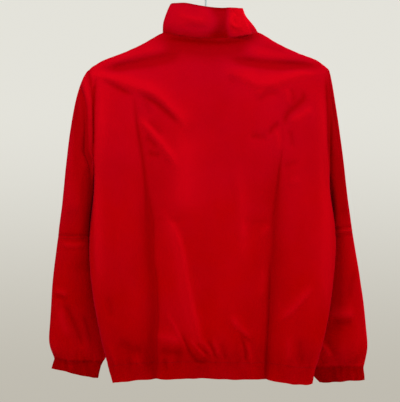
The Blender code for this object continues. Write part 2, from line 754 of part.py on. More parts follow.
def hook_wire():
    """Centreline of the hook: round its circle, then bent back to run straight down."""
    centre = Vector((0, 0, HOOK_WIRE / 2 - HOOK_RADIUS))
    wire = []
    for n in range(HOOK_STEPS + 1):
        angle = HOOK_TIP - (HOOK_TIP + HOOK_TURN) * n / HOOK_STEPS
        wire.append(centre + on_circle(HOOK_RADIUS, angle))
    bend = HOOK_RADIUS * math.cos(HOOK_TURN) / (1 - math.cos(HOOK_TURN))
    bend_centre = centre + on_circle(HOOK_RADIUS + bend, -HOOK_TURN)
    for n in range(1, NECK_STEPS + 1):
        angle = HOOK_TURN * (1 - n / NECK_STEPS)
        wire.append(bend_centre + on_circle(bend, math.pi - angle))
    wire.append(Vector((0, 0, CROWN_Z + SEAM_GAP)))
    return wire


def hanger(steel, plastic):
    arms = []
    for n in range(ARM_STEPS + 1):
        x = ARM_REACH * (2 * n / ARM_STEPS - 1)
        arms.append(Vector((x, 0, arm_centre(x))))
    tube("hanger_arms", arms, ARM_DIAMETER, TUBE_RESOLUTION, plastic)
    tube("hanger_hook", hook_wire(), HOOK_WIRE, TUBE_RESOLUTION, steel)


# ---------------------------------------------------------------- zip
def up_the_front(skins, x):
    """Points at one distance from the centre, from the hem up to the collar's top, on the
    walls whose two columns nearest the zip are given from the hem up."""
    line = []
    for first, second in skins:
        for a, b in list(zip(first, second))[::-1]:
            line.append(a + (b - a) * ((x - a.x) / (b.x - a.x)))
    return [p for n, p in enumerate(line) if n == 0 or (p - line[n - 1]).length > WALL]


def inward_of(line, n):
    """Unit vector into the jacket, square to a line that runs up its front."""
    run = line[min(n + 1, len(line) - 1)] - line[max(n - 1, 0)]
    return Vector((0, run.z, -run.y)).normalized()


def strip(name, near, far, depth, thickness, finish):
    """A flat strip between two lines up the front, a depth inside them."""
    outer = [[p + inward_of(line, n) * depth for n, p in enumerate(line)]
             for line in (near, far)]
    inner = [[p + inward_of(line, n) * (depth + thickness) for n, p in enumerate(line)]
             for line in (near, far)]
    wall(name, outer, inner, finish)


def plate(name, outline, thickness, finish):
    """A flat plate with an outline in X and Z, centred on Y."""
    bm = bmesh.new()
    face = bm.faces.new([bm.verts.new((x, -thickness / 2, z)) for x, z in outline])
    raised = bmesh.ops.extrude_face_region(bm, geom=[face])["geom"]
    verts = [item for item in raised if isinstance(item, bmesh.types.BMVert)]
    bmesh.ops.translate(bm, vec=(0, thickness, 0), verts=verts)
    bmesh.ops.recalc_face_normals(bm, faces=bm.faces)
    return mesh_object(name, bm, finish)


def block(name, size, middle, finish):
    bm = bmesh.new()
    bmesh.ops.create_cube(bm, size=1.0)
    bmesh.ops.scale(bm, vec=size, verts=bm.verts)
    bmesh.ops.translate(bm, vec=middle, verts=bm.verts)
    return mesh_object(name, bm, finish)


def leaning(place, up):
    """A matrix that moves a piece to a place and turns its Z to a direction in Y and Z."""
    return Matrix.Translation(place) @ Matrix.Rotation(math.atan2(-up.y, up.z), 4, "X")


def combine(obj, operation, other):
    """Joins a helper to an object or cuts it away, and hides the helper."""
    other.hide_render = True
    other.display_type = "WIRE"
    other.parent = obj
    modifier = obj.modifiers.new(other.name, "BOOLEAN")
    modifier.operation = operation
    modifier.solver = "EXACT"
    modifier.object = other


def zip_slider(finish):
    """The slider's plate, narrower downwards, with the arch that its pull tab hangs in.
    The tab's axis passes through the object's origin."""
    half, wide, narrow = SLIDER_LENGTH / 2, SLIDER_WIDTH / 2, SLIDER_FOOT / 2
    corner = SLIDER_CORNER
    outline = [
        (-wide + corner, half), (-wide, half - corner), (-wide, 0), (-narrow, -half),
        (narrow, -half), (wide, 0), (wide, half - corner), (wide - corner, half),
    ]
    slider = plate("zip_slider", outline, SLIDER_PLATE, finish)
    slider.data.transform(Matrix.Translation((0, ARCH_WINDOW / 2 + SLIDER_PLATE / 2, 0)))
    arch_size = (ARCH_WIDTH, ARCH_WINDOW + ARCH_THICKNESS, ARCH_WINDOW + 2 * ARCH_THICKNESS)
    arch = block("slider_arch", arch_size, (0, SEAM_GAP - ARCH_THICKNESS / 2, 0), finish)
    through = block("slider_window", (2 * ARCH_WIDTH, ARCH_WINDOW, ARCH_WINDOW), (0, 0, 0), finish)
    combine(slider, "UNION", arch)
    combine(slider, "DIFFERENCE", through)
    return slider


def zip_pull(finish):
    """Pull tab with the eye that it hangs by. Its origin is in the middle of the eye's bar."""
    top, neck, half, corner = EYE_BAR / 2, NECK_WIDTH / 2, PULL_WIDTH / 2, PULL_CORNER
    low = top - PULL_LENGTH
    right = [
        (half - corner, low), (half, low + corner), (half, -NECK_FLARE),
        (neck, -NECK_FOOT), (neck, top - corner), (neck - corner, top),
    ]
    left = [(-x, z) for x, z in right[::-1]]
    pull = plate("zip_pull", left + right, PULL_THICKNESS, finish)
    middle = -(EYE_BAR + EYE_LENGTH) / 2
    eye = block("pull_eye", (EYE_WIDTH, 2 * PULL_THICKNESS, EYE_LENGTH), (0, 0, middle), finish)
    combine(pull, "DIFFERENCE", eye)
    return pull


def zip_pieces(skins, cloth, coil, steel):
    """Tapes behind the fronts' edges, the closed chain between them, slider and pull tab."""
    outer_skins, inner_skins = skins
    sides = (("left", 1, 0), ("right", -1, -1))
    for name, side, edge in sides:
        nearest = [(grid[edge], grid[edge + side]) for grid in inner_skins[name]]
        near = up_the_front(nearest, side * TAPE_GAP)
        far = up_the_front(nearest, side * (TAPE_GAP + TAPE_WIDTH))
        strip(f"zip_tape_{name}", near, far, TAPE_DEPTH, TAPE_THICKNESS, cloth)
    nearest = [(grid[0], grid[1]) for grid in outer_skins["left"]]
    line = up_the_front(nearest, 0.0)

    lean = (line[-1] - line[-2]).normalized()
    middle = line[-1] - lean * (SLIDER_LENGTH / 2 + SLIDER_DOWN)
    end = middle - lean * (SLIDER_LENGTH / 2 + SEAM_GAP)
    up = (line[1] - line[0]).normalized()
    foot = line[0] + up * (ZIP_BOX[2] + SEAM_GAP)
    between = [p for p in line if foot.z + CHAIN_STEP < p.z < end.z - CHAIN_STEP]
    chain = [foot] + between + [end]
    near, far = moved(chain, x=-CHAIN_WIDTH / 2), moved(chain, x=CHAIN_WIDTH / 2)
    strip("zip_chain", near, far, CHAIN_DEPTH, CHAIN_THICKNESS, coil)

    inward = Vector((0, up.z, -up.y))
    box = block("zip_box", ZIP_BOX, (0, 0, 0), steel)
    box.matrix_world = leaning(
        line[0] + up * ZIP_BOX[2] / 2 + inward * (CHAIN_DEPTH + ZIP_BOX[1] / 2), up)
    outward = Vector((0, -lean.z, lean.y))
    axis = middle + outward * (SLIDER_STAND + SLIDER_PLATE + ARCH_WINDOW / 2)
    slider = zip_slider(steel)
    slider.matrix_world = leaning(axis, lean)
    pull = zip_pull(steel)
    pull.location = axis


# ---------------------------------------------------------------- assembly
def build():
    clear_scene()
    cloth = material("cloth", CLOTH, 0.62)
    steel = material("steel", STEEL, 0.25, 1.0)
    plastic = material("plastic", PLASTIC, 0.35)
    coil = material("coil", COIL, 0.45)

    outer, inner, rims = panel_grids()
    for name in outer:
        wall(name, outer[name], inner[name], cloth)
    for side in (1, -1):
        sleeve_pieces(side, rims[side], cloth)
    hem = hem_band(outer, inner, cloth)
    neck = collar(outer, inner, cloth)
    skins = [
        {side: (hem[n], panels["front_" + side], neck[n]) for side in ("left", "right")}
        for n, panels in enumerate((outer, inner))
    ]
    zip_pieces(skins, cloth, coil, steel)
    for piece in bpy.context.scene.objects:
        if not piece.parent:
            piece.location.x += JACKET_X
    hanger(steel, plastic)
    for piece in bpy.context.scene.objects:
        if not piece.hide_render:
            print(piece.name, "made, its origin at", [round(v, 5) for v in piece.location])


build()
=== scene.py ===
# %% [markdown]
# # A red track jacket on its hanger
#
# This lesson finishes a woven track jacket that hangs from a plain hanger, with its back to us.
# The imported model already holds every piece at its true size, as plain cloth walls. What is
# missing is what makes it cloth: one continuous skin that creases and gathers, a weave, a
# sheen, rows of stitching, and a zip with teeth. Lengths are in metres, Z is up, the front
# of the jacket faces -Y, and the origin is the point inside the hook where a rail bears.

# %% Setup
import json
import math
from collections import defaultdict, namedtuple

import bmesh
import bpy
import numpy as np
from mathutils import Matrix, Vector, noise
from mathutils.bvhtree import BVHTree
from mathutils.kdtree import KDTree

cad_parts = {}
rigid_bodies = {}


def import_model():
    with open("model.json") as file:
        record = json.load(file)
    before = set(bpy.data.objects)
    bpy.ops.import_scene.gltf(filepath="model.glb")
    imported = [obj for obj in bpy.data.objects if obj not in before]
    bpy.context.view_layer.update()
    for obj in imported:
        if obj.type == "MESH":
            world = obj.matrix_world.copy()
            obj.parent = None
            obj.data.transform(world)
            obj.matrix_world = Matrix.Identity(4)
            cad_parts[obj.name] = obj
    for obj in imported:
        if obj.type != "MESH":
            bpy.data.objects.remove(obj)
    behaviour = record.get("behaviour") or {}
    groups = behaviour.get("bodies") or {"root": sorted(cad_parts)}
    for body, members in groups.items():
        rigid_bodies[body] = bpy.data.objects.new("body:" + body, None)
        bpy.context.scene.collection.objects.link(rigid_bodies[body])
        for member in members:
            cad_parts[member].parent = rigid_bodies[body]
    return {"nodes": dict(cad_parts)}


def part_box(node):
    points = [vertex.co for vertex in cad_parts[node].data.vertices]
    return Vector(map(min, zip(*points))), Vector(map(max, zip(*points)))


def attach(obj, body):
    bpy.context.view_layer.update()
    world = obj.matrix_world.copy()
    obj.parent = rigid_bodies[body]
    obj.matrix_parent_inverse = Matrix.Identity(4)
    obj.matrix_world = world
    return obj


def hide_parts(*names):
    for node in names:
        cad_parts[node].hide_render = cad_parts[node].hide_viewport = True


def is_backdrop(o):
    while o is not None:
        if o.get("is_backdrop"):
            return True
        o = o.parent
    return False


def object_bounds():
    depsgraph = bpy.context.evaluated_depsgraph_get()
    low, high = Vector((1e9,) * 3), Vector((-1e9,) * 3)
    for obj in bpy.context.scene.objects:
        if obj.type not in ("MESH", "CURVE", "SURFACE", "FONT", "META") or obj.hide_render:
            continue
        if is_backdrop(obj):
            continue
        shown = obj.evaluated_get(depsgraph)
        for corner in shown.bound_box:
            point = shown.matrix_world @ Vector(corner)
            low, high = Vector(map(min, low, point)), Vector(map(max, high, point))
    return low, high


MM = 0.001
for leftover in list(bpy.data.objects):
    bpy.data.objects.remove(leftover)

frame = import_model()
cad_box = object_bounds()
print("nodes:", ", ".join(sorted(frame["nodes"])))
print("size in mm:", [round((high - low) / MM) for low, high in zip(*cad_box)])

# %% [markdown]
# ## Camera, floor and light
#
# The camera looks level at the back of the jacket from two metres, a little to one side of
# its middle. A pale floor lies far below. The world is a pale room, lighter above than below,
# for the camera and for what reflects, and a plain grey light for everything else, so that the
# background can be bright while the cloth keeps its own depth of colour. Four soft lamps stand
# round the jacket. The key lamp, high on the wearer's left, shades the folds of the back from
# the top. A weak one fills the back, one lights the right sleeve from its side, and one lights
# the front.

# %% Camera
JACKET_X = -0.010           # the jacket's centre plane
CAMERA_PLACE = (0.012, 2.0, -0.465)
VIEW_WIDTH = 0.80           # what the camera takes in where the jacket hangs
VIEW_DEPTH = 0.03           # depth of that plane

camera_data = bpy.data.cameras.new("camera")
camera_data.sensor_width = 36
camera_data.sensor_fit = "HORIZONTAL"
camera_data.lens = camera_data.sensor_width * (CAMERA_PLACE[1] - VIEW_DEPTH) / VIEW_WIDTH
camera = bpy.data.objects.new("camera", camera_data)
camera.location = CAMERA_PLACE
camera.rotation_euler = (math.radians(90), 0, math.radians(180))
bpy.context.scene.collection.objects.link(camera)
bpy.context.scene.camera = camera
bpy.context.scene.view_settings.view_transform = "Standard"
print("lens:", round(camera_data.lens, 1), "mm")


# %% Node helpers
def coloured(red, green, blue):
    """A colour that is wholly opaque."""
    return (red, green, blue, 1.0)


def add_node(tree, kind, inputs=None, **settings):
    """A node with its settings, and its inputs set to values or linked to sockets."""
    node = tree.nodes.new(kind)
    for name, value in settings.items():
        setattr(node, name, value)
    for name, value in (inputs or {}).items():
        if isinstance(value, bpy.types.NodeSocket):
            tree.links.new(value, node.inputs[name])
        else:
            node.inputs[name].default_value = value
    return node


def maths(tree, operation, first, second=None):
    """The result of one Math node."""
    inputs = {0: first}
    if second is not None:
        inputs[1] = second
    return add_node(tree, "ShaderNodeMath", inputs, operation=operation).outputs[0]


def blend_colours(tree, factor, first, second):
    """The result of mixing two colours."""
    inputs = {"Factor": factor, "A": first, "B": second}
    return add_node(tree, "ShaderNodeMix", inputs, data_type="RGBA").outputs["Result"]


def solid_place(tree):
    """The place on the piece, in metres, for patterns that run through it."""
    return add_node(tree, "ShaderNodeTexCoord").outputs["Object"]


print("node helpers ready")



# %% World
SKY_HIGH = coloured(0.775, 0.765, 0.705)
SKY_LOW = coloured(0.525, 0.500, 0.435)
SKY_TURN = (-0.2, 0.1)      # directions' heights between which low gives way to high
WORLD_LIGHT = coloured(0.26, 0.26, 0.26)    # grey light that comes from all round

world = bpy.data.worlds.new("pale_room")
bpy.context.scene.world = world
world.use_nodes = True
tree = world.node_tree
tree.nodes.clear()
direction = add_node(tree, "ShaderNodeTexCoord").outputs["Generated"]
height = add_node(tree, "ShaderNodeSeparateXYZ", {0: direction}).outputs["Z"]
rise = add_node(
    tree, "ShaderNodeMapRange",
    {"Value": height, "From Min": SKY_TURN[0], "From Max": SKY_TURN[1]},
    interpolation_type="SMOOTHSTEP",
).outputs[0]
sky = blend_colours(tree, rise, SKY_LOW, SKY_HIGH)
path = add_node(tree, "ShaderNodeLightPath").outputs
seen = maths(tree, "MAXIMUM", path["Is Camera Ray"], path["Is Glossy Ray"])
seen = maths(tree, "MAXIMUM", seen, path["Is Transmission Ray"])
lit = add_node(tree, "ShaderNodeBackground", {"Color": WORLD_LIGHT})
shown = add_node(tree, "ShaderNodeBackground", {"Color": sky})
mixed = add_node(tree, "ShaderNodeMixShader", {0: seen, 1: lit.outputs[0], 2: shown.outputs[0]})
add_node(tree, "ShaderNodeOutputWorld", {"Surface": mixed.outputs[0]})
print("world:", world.name)

# %% Lamps
MIDDLE = Vector((JACKET_X, 0, -0.42))       # what every lamp is turned to
LAMPS = {
    # place, width of the square lamp, and power in watts
    "key": ((1.2, 1.5, 1.2), 0.9, 40),
    "back_fill": ((-0.5, 2.2, 0.7), 1.2, 8),
    "side_fill": ((-2.1, 0.6, 0.5), 1.0, 26),
    "front_fill": ((-1.5, -1.2, 1.15), 0.7, 48),
}

for name, (place, width, power) in LAMPS.items():
    data = bpy.data.lights.new(name, "AREA")
    data.size = width
    data.energy = power
    lamp = bpy.data.objects.new(name, data)
    lamp.location = place
    lamp.rotation_euler = (MIDDLE - Vector(place)).to_track_quat("-Z", "Y").to_euler()
    bpy.context.scene.collection.objects.link(lamp)
print("lamps:", len(LAMPS))


# %% Object and material helpers
def finish_object(name, bm, materials=()):
    """Turns a bmesh into an object at the origin, with smooth faces."""
    mesh = bpy.data.meshes.new(name)
    bm.to_mesh(mesh)
    bm.free()
    mesh.shade_smooth()
    for material in materials:
        mesh.materials.append(material)
    obj = bpy.data.objects.new(name, mesh)
    bpy.context.scene.collection.objects.link(obj)
    return obj


def plain_material(name, colour, roughness):
    """A material with its output and its main shader, which is returned with the node tree."""
    material = bpy.data.materials.new(name)
    material.use_nodes = True
    shader = material.node_tree.nodes["Principled BSDF"]
    shader.inputs["Base Color"].default_value = colour
    shader.inputs["Roughness"].default_value = roughness
    return material, shader, material.node_tree


print("object and material helpers ready")

# %% Floor
FLOOR_Z = -1.60
FLOOR_RADIUS = 2.6
FLOOR_TONES = (coloured(0.70, 0.69, 0.65), coloured(0.74, 0.73, 0.69))

floor_finish, floor_shader, tree = plain_material("pale_floor", FLOOR_TONES[0], 0.8)
mottle = add_node(tree, "ShaderNodeTexNoise",
                  {"Vector": solid_place(tree), "Scale": 3.0, "Detail": 4.0})
floor_tone = blend_colours(tree, mottle.outputs["Fac"], *FLOOR_TONES)
tree.links.new(floor_tone, floor_shader.inputs["Base Color"])
bm = bmesh.new()
bmesh.ops.create_circle(bm, cap_ends=True, segments=96, radius=FLOOR_RADIUS)
bmesh.ops.translate(bm, vec=(0, 0, FLOOR_Z), verts=bm.verts)
floor = finish_object("floor", bm, [floor_finish])
floor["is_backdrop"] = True
print("floor at", FLOOR_Z)

# %% [markdown]
# ## The jacket's skin
#
# A sewn jacket is one continuous surface: a crease doesn't stop at a seam. So the creases are
# not put on one panel at a time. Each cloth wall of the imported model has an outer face, an
# inner face and narrow rims. A copy of each is merged, the rims and the inner face are taken
# away, and the outer faces are welded along their seams into one coarse net. Every face
# remembers its panel by its material number. Subdivision then makes the net smooth and fine
# enough to carry creases, and thickness comes back at the end.

# %% Panels
SIDES = ("left", "right")
PANELS = (
    "back", "front_left", "front_right",
    "sleeve_upper_left", "sleeve_upper_right", "sleeve_lower_left", "sleeve_lower_right",
    "cuff_left", "cuff_right", "hem_band", "collar",
)
SAME_POINT = 0.01 * MM
RIM_EDGE = 2.4 * MM         # a rim has edges as long as the wall is thick, and a skin has none
SEAM_REACH = 0.8 * MM       # welding distance, above the seams' gap
MOST_BENT = math.radians(60)    # two triangles that bend less than this may become one quad
MOST_SKEWED = math.radians(80)  # how far that quad's corners may be from square


def faces_joined_to(start, allowed):
    """All allowed faces that can be reached from one face over shared edges."""
    found = {start}
    waiting = [start]
    while waiting:
        for edge in waiting.pop().edges:
            for face in edge.link_faces:
                if face in allowed and face not in found:
                    found.add(face)
                    waiting.append(face)
    return found


def outer_skin(node):
    """The outer face of a cloth wall: the larger of the two faces that its rims divide."""
    bm = bmesh.new()
    bm.from_mesh(frame["nodes"][node].data)
    bmesh.ops.remove_doubles(bm, verts=bm.verts, dist=SAME_POINT)
    left = {f for f in bm.faces if min(edge.calc_length() for edge in f.edges) > RIM_EDGE}
    sides = []
    while left:
        side = faces_joined_to(next(iter(left)), left)
        left -= side
        sides.append(side)
    outer = max(sides, key=lambda side: sum(face.calc_area() for face in side))
    corners = {vert for face in outer for vert in face.verts}
    spare = [face for face in bm.faces if not corners.issuperset(face.verts)]
    bmesh.ops.delete(bm, geom=spare, context="FACES")
    return bm


net = bmesh.new()
for number, panel in enumerate(PANELS):
    skin = outer_skin(panel)
    for face in skin.faces:
        face.material_index = number
    holder = bpy.data.meshes.new(panel + "_skin")
    skin.to_mesh(holder)
    skin.free()
    net.from_mesh(holder)
    bpy.data.meshes.remove(holder)
bmesh.ops.remove_doubles(net, verts=net.verts, dist=SEAM_REACH)
bmesh.ops.join_triangles(
    net, faces=net.faces, cmp_materials=True,
    angle_face_threshold=MOST_BENT, angle_shape_threshold=MOST_SKEWED,
)
quads = sum(len(face.verts) == 4 for face in net.faces)
print("net:", len(net.faces), "faces, of which", quads, "have four corners")

# %% [markdown]
# ## From net to cloth
#
# A Subdivision Surface rounds the net. Where a cuff grips or the collar rises, the surface
# turns on its seam, so those seams are creased before they are subdivided. The result is read
# into arrays, because the creases are sums over every point of the cloth: each one is a
# distance to a line, turned into a small lift along the cloth's own direction.

# %% Seams of the net
SEAM_CREASES = {
    # kinds of the two panels, and how sharply the cloth turns at their seam
    ("cuff", "sleeve"): 0.50,
    ("back", "collar"): 0.45,
    ("collar", "front"): 0.45,
    ("back", "sleeve"): 0.25,
    ("front", "sleeve"): 0.25,
}
LEVELS = 3


def kind(number):
    return PANELS[number].split("_")[0]


crease_layer = net.edges.layers.float.new("crease_edge")
for edge in net.edges:
    numbers = {face.material_index for face in edge.link_faces}
    kinds = tuple(sorted(kind(number) for number in numbers))
    if len(numbers) == 2:
        edge[crease_layer] = SEAM_CREASES.get(kinds, 0.0)
coarse = finish_object("net", net)
divide = coarse.modifiers.new("divide", "SUBSURF")
divide.levels = LEVELS
divide.render_levels = LEVELS
divide.boundary_smooth = "PRESERVE_CORNERS"
print("net's seams creased")


# %% Subdivide, and keep the size
def read(collection, name, width, kind_of=float):
    """One property of every item of a mesh collection, as an array."""
    values = np.empty(len(collection) * width, dtype=kind_of)
    collection.foreach_get(name, values)
    return values.reshape(-1, width) if width > 1 else values


# A subdivided net lies inside its own corners. So the net is pushed out by what it lost, until
# the surface passes through the places where the corners were.
FITTING_ROUNDS = 2
MOST_PUSHED = 5 * MM
wanted = read(coarse.data.vertices, "co", 3)
pushed = wanted.copy()
for attempt in range(FITTING_ROUNDS + 1):
    graph = bpy.context.evaluated_depsgraph_get()
    cloth = bpy.data.meshes.new_from_object(coarse.evaluated_get(graph))
    lost = wanted - read(cloth.vertices, "co", 3)[:len(wanted)]
    print("lost in mm:", np.round(np.percentile(np.linalg.norm(lost, axis=1) / MM, (50, 99)), 2))
    if attempt < FITTING_ROUNDS:
        bpy.data.meshes.remove(cloth)
        push = pushed + lost - wanted
        far = np.linalg.norm(push, axis=1, keepdims=True)
        pushed = wanted + push * np.minimum(1, MOST_PUSHED / np.maximum(far, SAME_POINT))
        coarse.data.vertices.foreach_set("co", pushed.ravel())
        coarse.data.update()
bpy.data.objects.remove(coarse)
print("cloth:", len(cloth.vertices), "points,", len(cloth.polygons), "faces")

# %% The cloth as arrays
points = read(cloth.vertices, "co", 3)
corners = read(cloth.loops, "vertex_index", 1, np.int32).reshape(-1, 4)
edge_of_corner = read(cloth.loops, "edge_index", 1, np.int32)
ends_of_edge = read(cloth.edges, "vertices", 2, np.int32)
panel_of_face = read(cloth.polygons, "material_index", 1, np.int32)
in_panel = {}
for number, panel in enumerate(PANELS):
    in_panel[panel] = np.zeros(len(points), bool)
    in_panel[panel][corners[panel_of_face == number].ravel()] = True


def among(*starts):
    """Which points lie on a panel whose name starts with one of these words."""
    chosen = np.zeros(len(points), bool)
    for panel in PANELS:
        if panel.startswith(starts):
            chosen |= in_panel[panel]
    return chosen


on_body = among("back", "front", "hem_band")
on_sleeves = among("sleeve", "cuff")
on_collar = among("collar")
print("points on the body:", on_body.sum(), " sleeves:", on_sleeves.sum())

# %% Even out the net's rows
# The net is crowded where the neck ends, which would show as faint upright lines. Each free
# point of the body moves towards the middle of its neighbours, many times over.
EVENING_ROUNDS = 90
EVENING_STEP = 0.5          # share of the way to the middle that a free point moves in a round
FREE_FACING = (0.35, 0.75)  # how squarely the cloth faces back or front to be free


def ramp(values, start, end):
    """0 before the start, 1 past the end, and a smooth rise between them."""
    t = np.clip((values - start) / (end - start), 0, 1)
    return t * t * (3 - 2 * t)


def put_back(places):
    """Stores the points in the mesh and returns the normals they give."""
    cloth.vertices.foreach_set("co", places.ravel())
    cloth.update()
    return read(cloth.vertices, "normal", 3)


normals = put_back(points)
freedom = EVENING_STEP * ramp(np.abs(normals[:, 1]), *FREE_FACING) * on_body
for number, panel in enumerate(PANELS):
    for other in PANELS[number + 1:]:
        if other != "hem_band":
            freedom[in_panel[panel] & in_panel[other]] = 0
meeting = np.bincount(ends_of_edge.ravel(), minlength=len(points))
on_rim = np.bincount(edge_of_corner, minlength=len(ends_of_edge)) == 1
freedom[ends_of_edge[on_rim].ravel()] = 0
before = points.copy()
for attempt in range(EVENING_ROUNDS):
    for axis in range(3):
        values = points[:, axis]
        first = np.bincount(ends_of_edge[:, 0], values[ends_of_edge[:, 1]], len(points))
        second = np.bincount(ends_of_edge[:, 1], values[ends_of_edge[:, 0]], len(points))
        points[:, axis] = values + freedom * ((first + second) / meeting - values)
moved = np.linalg.norm(points - before, axis=1)
print("evened by up to", round(moved.max() / MM, 1), "mm")


# %% Seams of the cloth
def seam_points(one, other):
    """Which points lie where a panel of one kind meets a panel of the other kind."""
    return among(one) & among(other)


def distance_to(chosen):
    """Distance from every point to the nearest of the chosen ones."""
    tree = KDTree(int(chosen.sum()))
    for place in points[chosen]:
        tree.insert(place, 0)
    tree.balance()
    return np.array([tree.find(place)[2] for place in points])


COLLAR_TOP_Z = -0.115       # the collar's free edge lies above this, and its seam below
seams = {
    "elbow": seam_points("sleeve_lower", "sleeve_upper"),
    "cuff": seam_points("cuff", "sleeve_lower"),
    "hem": seam_points("hem_band", "back") | seam_points("hem_band", "front"),
    "neck": seam_points("collar", "back") | seam_points("collar", "front"),
    "armhole": seam_points("sleeve_upper", "back") | seam_points("sleeve_upper", "front"),
    "side": seam_points("back", "front"),
}
free_rim = np.zeros(len(points), bool)
free_rim[ends_of_edge[on_rim].ravel()] = True
seams["collar_top"] = free_rim & on_collar & (points[:, 2] > COLLAR_TOP_Z)
seams["free_end"] = free_rim & among("hem_band", "cuff")
from_seam = {name: distance_to(chosen) for name, chosen in seams.items()}
print("seam points:", {name: int(chosen.sum()) for name, chosen in seams.items()})

# %% [markdown]
# ## Creases, folds and gathers
#
# Cloth that was packed flat and then hung keeps sharp lines where it was folded, soft ridges
# where it hangs from the hanger, and small crumples where elastic gathers it. They could be
# simulated, but a simulation doesn't put them where this jacket has them. So each one is
# listed: a row gives the height of the lift, its reach to each side, how sharp it is, and the
# line it follows. Rows that lift are ridges, and rows that sink are troughs.

# %% Rows of folds
# The lift and the two reaches are in millimetres. A place on the line is its distance out from
# the centre plane, to the wearer's left, and then its distance down from the hook, also in
# millimetres. Each line runs from the top down or, if it is level, from the wearer's left to
# the right. The first reach is to the wearer's left of it, or below a level line.
Fold = namedtuple("Fold", "part face lift left right sharp line")
SOFT, FIRM, CRISP = 2.0, 1.5, 1.15
FOLDS = []


def add_folds(part, face, rows):
    """Adds rows to one face of a part: lift, two reaches, sharpness, and the line's places."""
    for lift, left, right, sharp, *places in rows:
        line = [(out * MM, -down * MM) for out, down in places]
        FOLDS.append(Fold(part, face, lift * MM, left * MM, right * MM, sharp, line))
    print("folds added to the", part + "'s", face + ":", len(rows))


# %% Folds from packing
# The lines where the jacket lay folded are shallow at the shoulder blades and deep at the hem.
add_folds("body", "back", [
    (-2.4, 4, 3.5, FIRM, (156, 230), (150, 290), (140, 353), (133, 403), (127, 462), (120, 540)),
    (-3.5, 18, 6, FIRM, (132, 410), (119, 503), (117, 582), (111, 621), (109, 680), (111, 740),
     (115, 785), (112, 870)),
    (-1.6, 4, 4, FIRM, (111, 640), (110, 700), (112, 760), (111, 820), (108, 900)),
    (-2.6, 2.8, 2.8, FIRM, (-144, 270), (-140, 370), (-136, 403), (-130, 463), (-126, 503),
     (-123, 582), (-118, 621), (-116, 700), (-112, 779), (-106, 930)),
    (-2.2, 3.5, 3.5, FIRM, (-119, 560), (-116, 700), (-112, 779), (-106, 930)),
    (-1.4, 12, 12, SOFT, (-134, 380), (-124, 560), (-116, 700), (-106, 930)),
    (-0.8, 28, 5, FIRM, (-125, 330), (-135, 403), (-131, 463), (-126, 530)),
    (-0.9, 4, 4, CRISP, (116, 500), (85, 502), (55, 506)),
    (-0.9, 4, 5, CRISP, (-55, 506), (-90, 508), (-120, 503)),
    (1.4, 6, 5, SOFT, (-96, 536), (-108, 523), (-118, 514)),
    (1.0, 6, 6, SOFT, (-60, 508), (-64, 522), (-66, 540)),
])

# %% Folds over the hanger
# A ridge runs over the hanger, a hollow lies under it, and a swag hangs below the hollow.
add_folds("body", "back", [
    (-3.8, 30, 9, SOFT, (125, 136), (80, 143), (35, 150), (-10, 153), (-45, 151), (-110, 138)),
    (1.6, 8, 14, SOFT, (215, 190), (180, 178), (140, 166), (101, 157), (75, 150)),
    (-4.2, 14, 9, SOFT, (240, 206), (206, 199), (180, 193), (140, 185), (101, 178), (55, 172)),
    (4.6, 5.5, 19, FIRM, (262, 202), (235, 212), (205, 221), (180, 228), (140, 243), (92, 258)),
    (1.6, 8, 12, SOFT, (-55, 156), (-100, 168), (-140, 175), (-185, 182)),
    (-4.8, 14, 8, SOFT, (-25, 180), (-70, 185), (-110, 188), (-150, 190), (-190, 192),
     (-240, 196)),
    (5.0, 7, 18, FIRM, (-15, 202), (-60, 218), (-97, 235), (-140, 226), (-185, 212), (-245, 204)),
    (-0.8, 4, 4, CRISP, (-97, 150), (-125, 158), (-156, 166)),
    (-1.2, 12, 10, SOFT, (-30, 226), (-48, 219), (-74, 214)),
])

# %% Slack at the shoulder blades
# It fans out below the swags, on both sides of the spine.
add_folds("body", "back", [
    (3.6, 5, 17, FIRM, (150, 238), (118, 252), (98, 265), (80, 284), (64, 302), (45, 332)),
    (-3.2, 7, 4, FIRM, (230, 208), (205, 226), (180, 240), (150, 256)),
    (-3.6, 8, 4, FIRM, (150, 246), (122, 261), (98, 277), (76, 296), (50, 320)),
    (4.8, 4.5, 10, FIRM, (150, 292), (132, 314), (112, 338), (94, 360), (75, 386), (62, 412)),
    (-2.2, 5, 6, FIRM, (130, 302), (110, 322), (94, 338)),
    (-1.9, 6, 5, FIRM, (132, 336), (118, 346), (104, 362)),
    (-1.8, 5, 6, FIRM, (128, 368), (111, 374), (96, 373)),
    (-1.1, 6, 6, SOFT, (136, 268), (126, 281), (121, 296)),
    (2.2, 8, 9, FIRM, (-88, 262), (-100, 247), (-115, 238), (-145, 236)),
    (-2.0, 7, 8, FIRM, (-90, 272), (-104, 256), (-122, 250), (-142, 250)),
    (1.5, 6, 6, SOFT, (-148, 238), (-154, 255), (-152, 275)),
    (-2.6, 6, 5, FIRM, (-180, 236), (-186, 257), (-176, 271), (-160, 284), (-150, 297),
     (-144, 325)),
    (-1.2, 5, 5, FIRM, (-158, 238), (-165, 254), (-163, 272)),
    (3.0, 7, 9, FIRM, (-206, 276), (-178, 296), (-152, 309)),
    (-2.4, 6, 6, FIRM, (-139, 306), (-122, 322), (-112, 338)),
    (-2.0, 7, 8, FIRM, (-74, 336), (-96, 338), (-116, 340)),
    (1.6, 5, 5, FIRM, (-124, 322), (-133, 338), (-136, 372)),
    (-1.3, 6, 6, SOFT, (-152, 320), (-160, 340), (-158, 362)),
    (-1.2, 7, 7, SOFT, (-140, 398), (-156, 393), (-174, 384)),
    (1.0, 7, 7, SOFT, (-152, 422), (-166, 425), (-180, 420)),
])

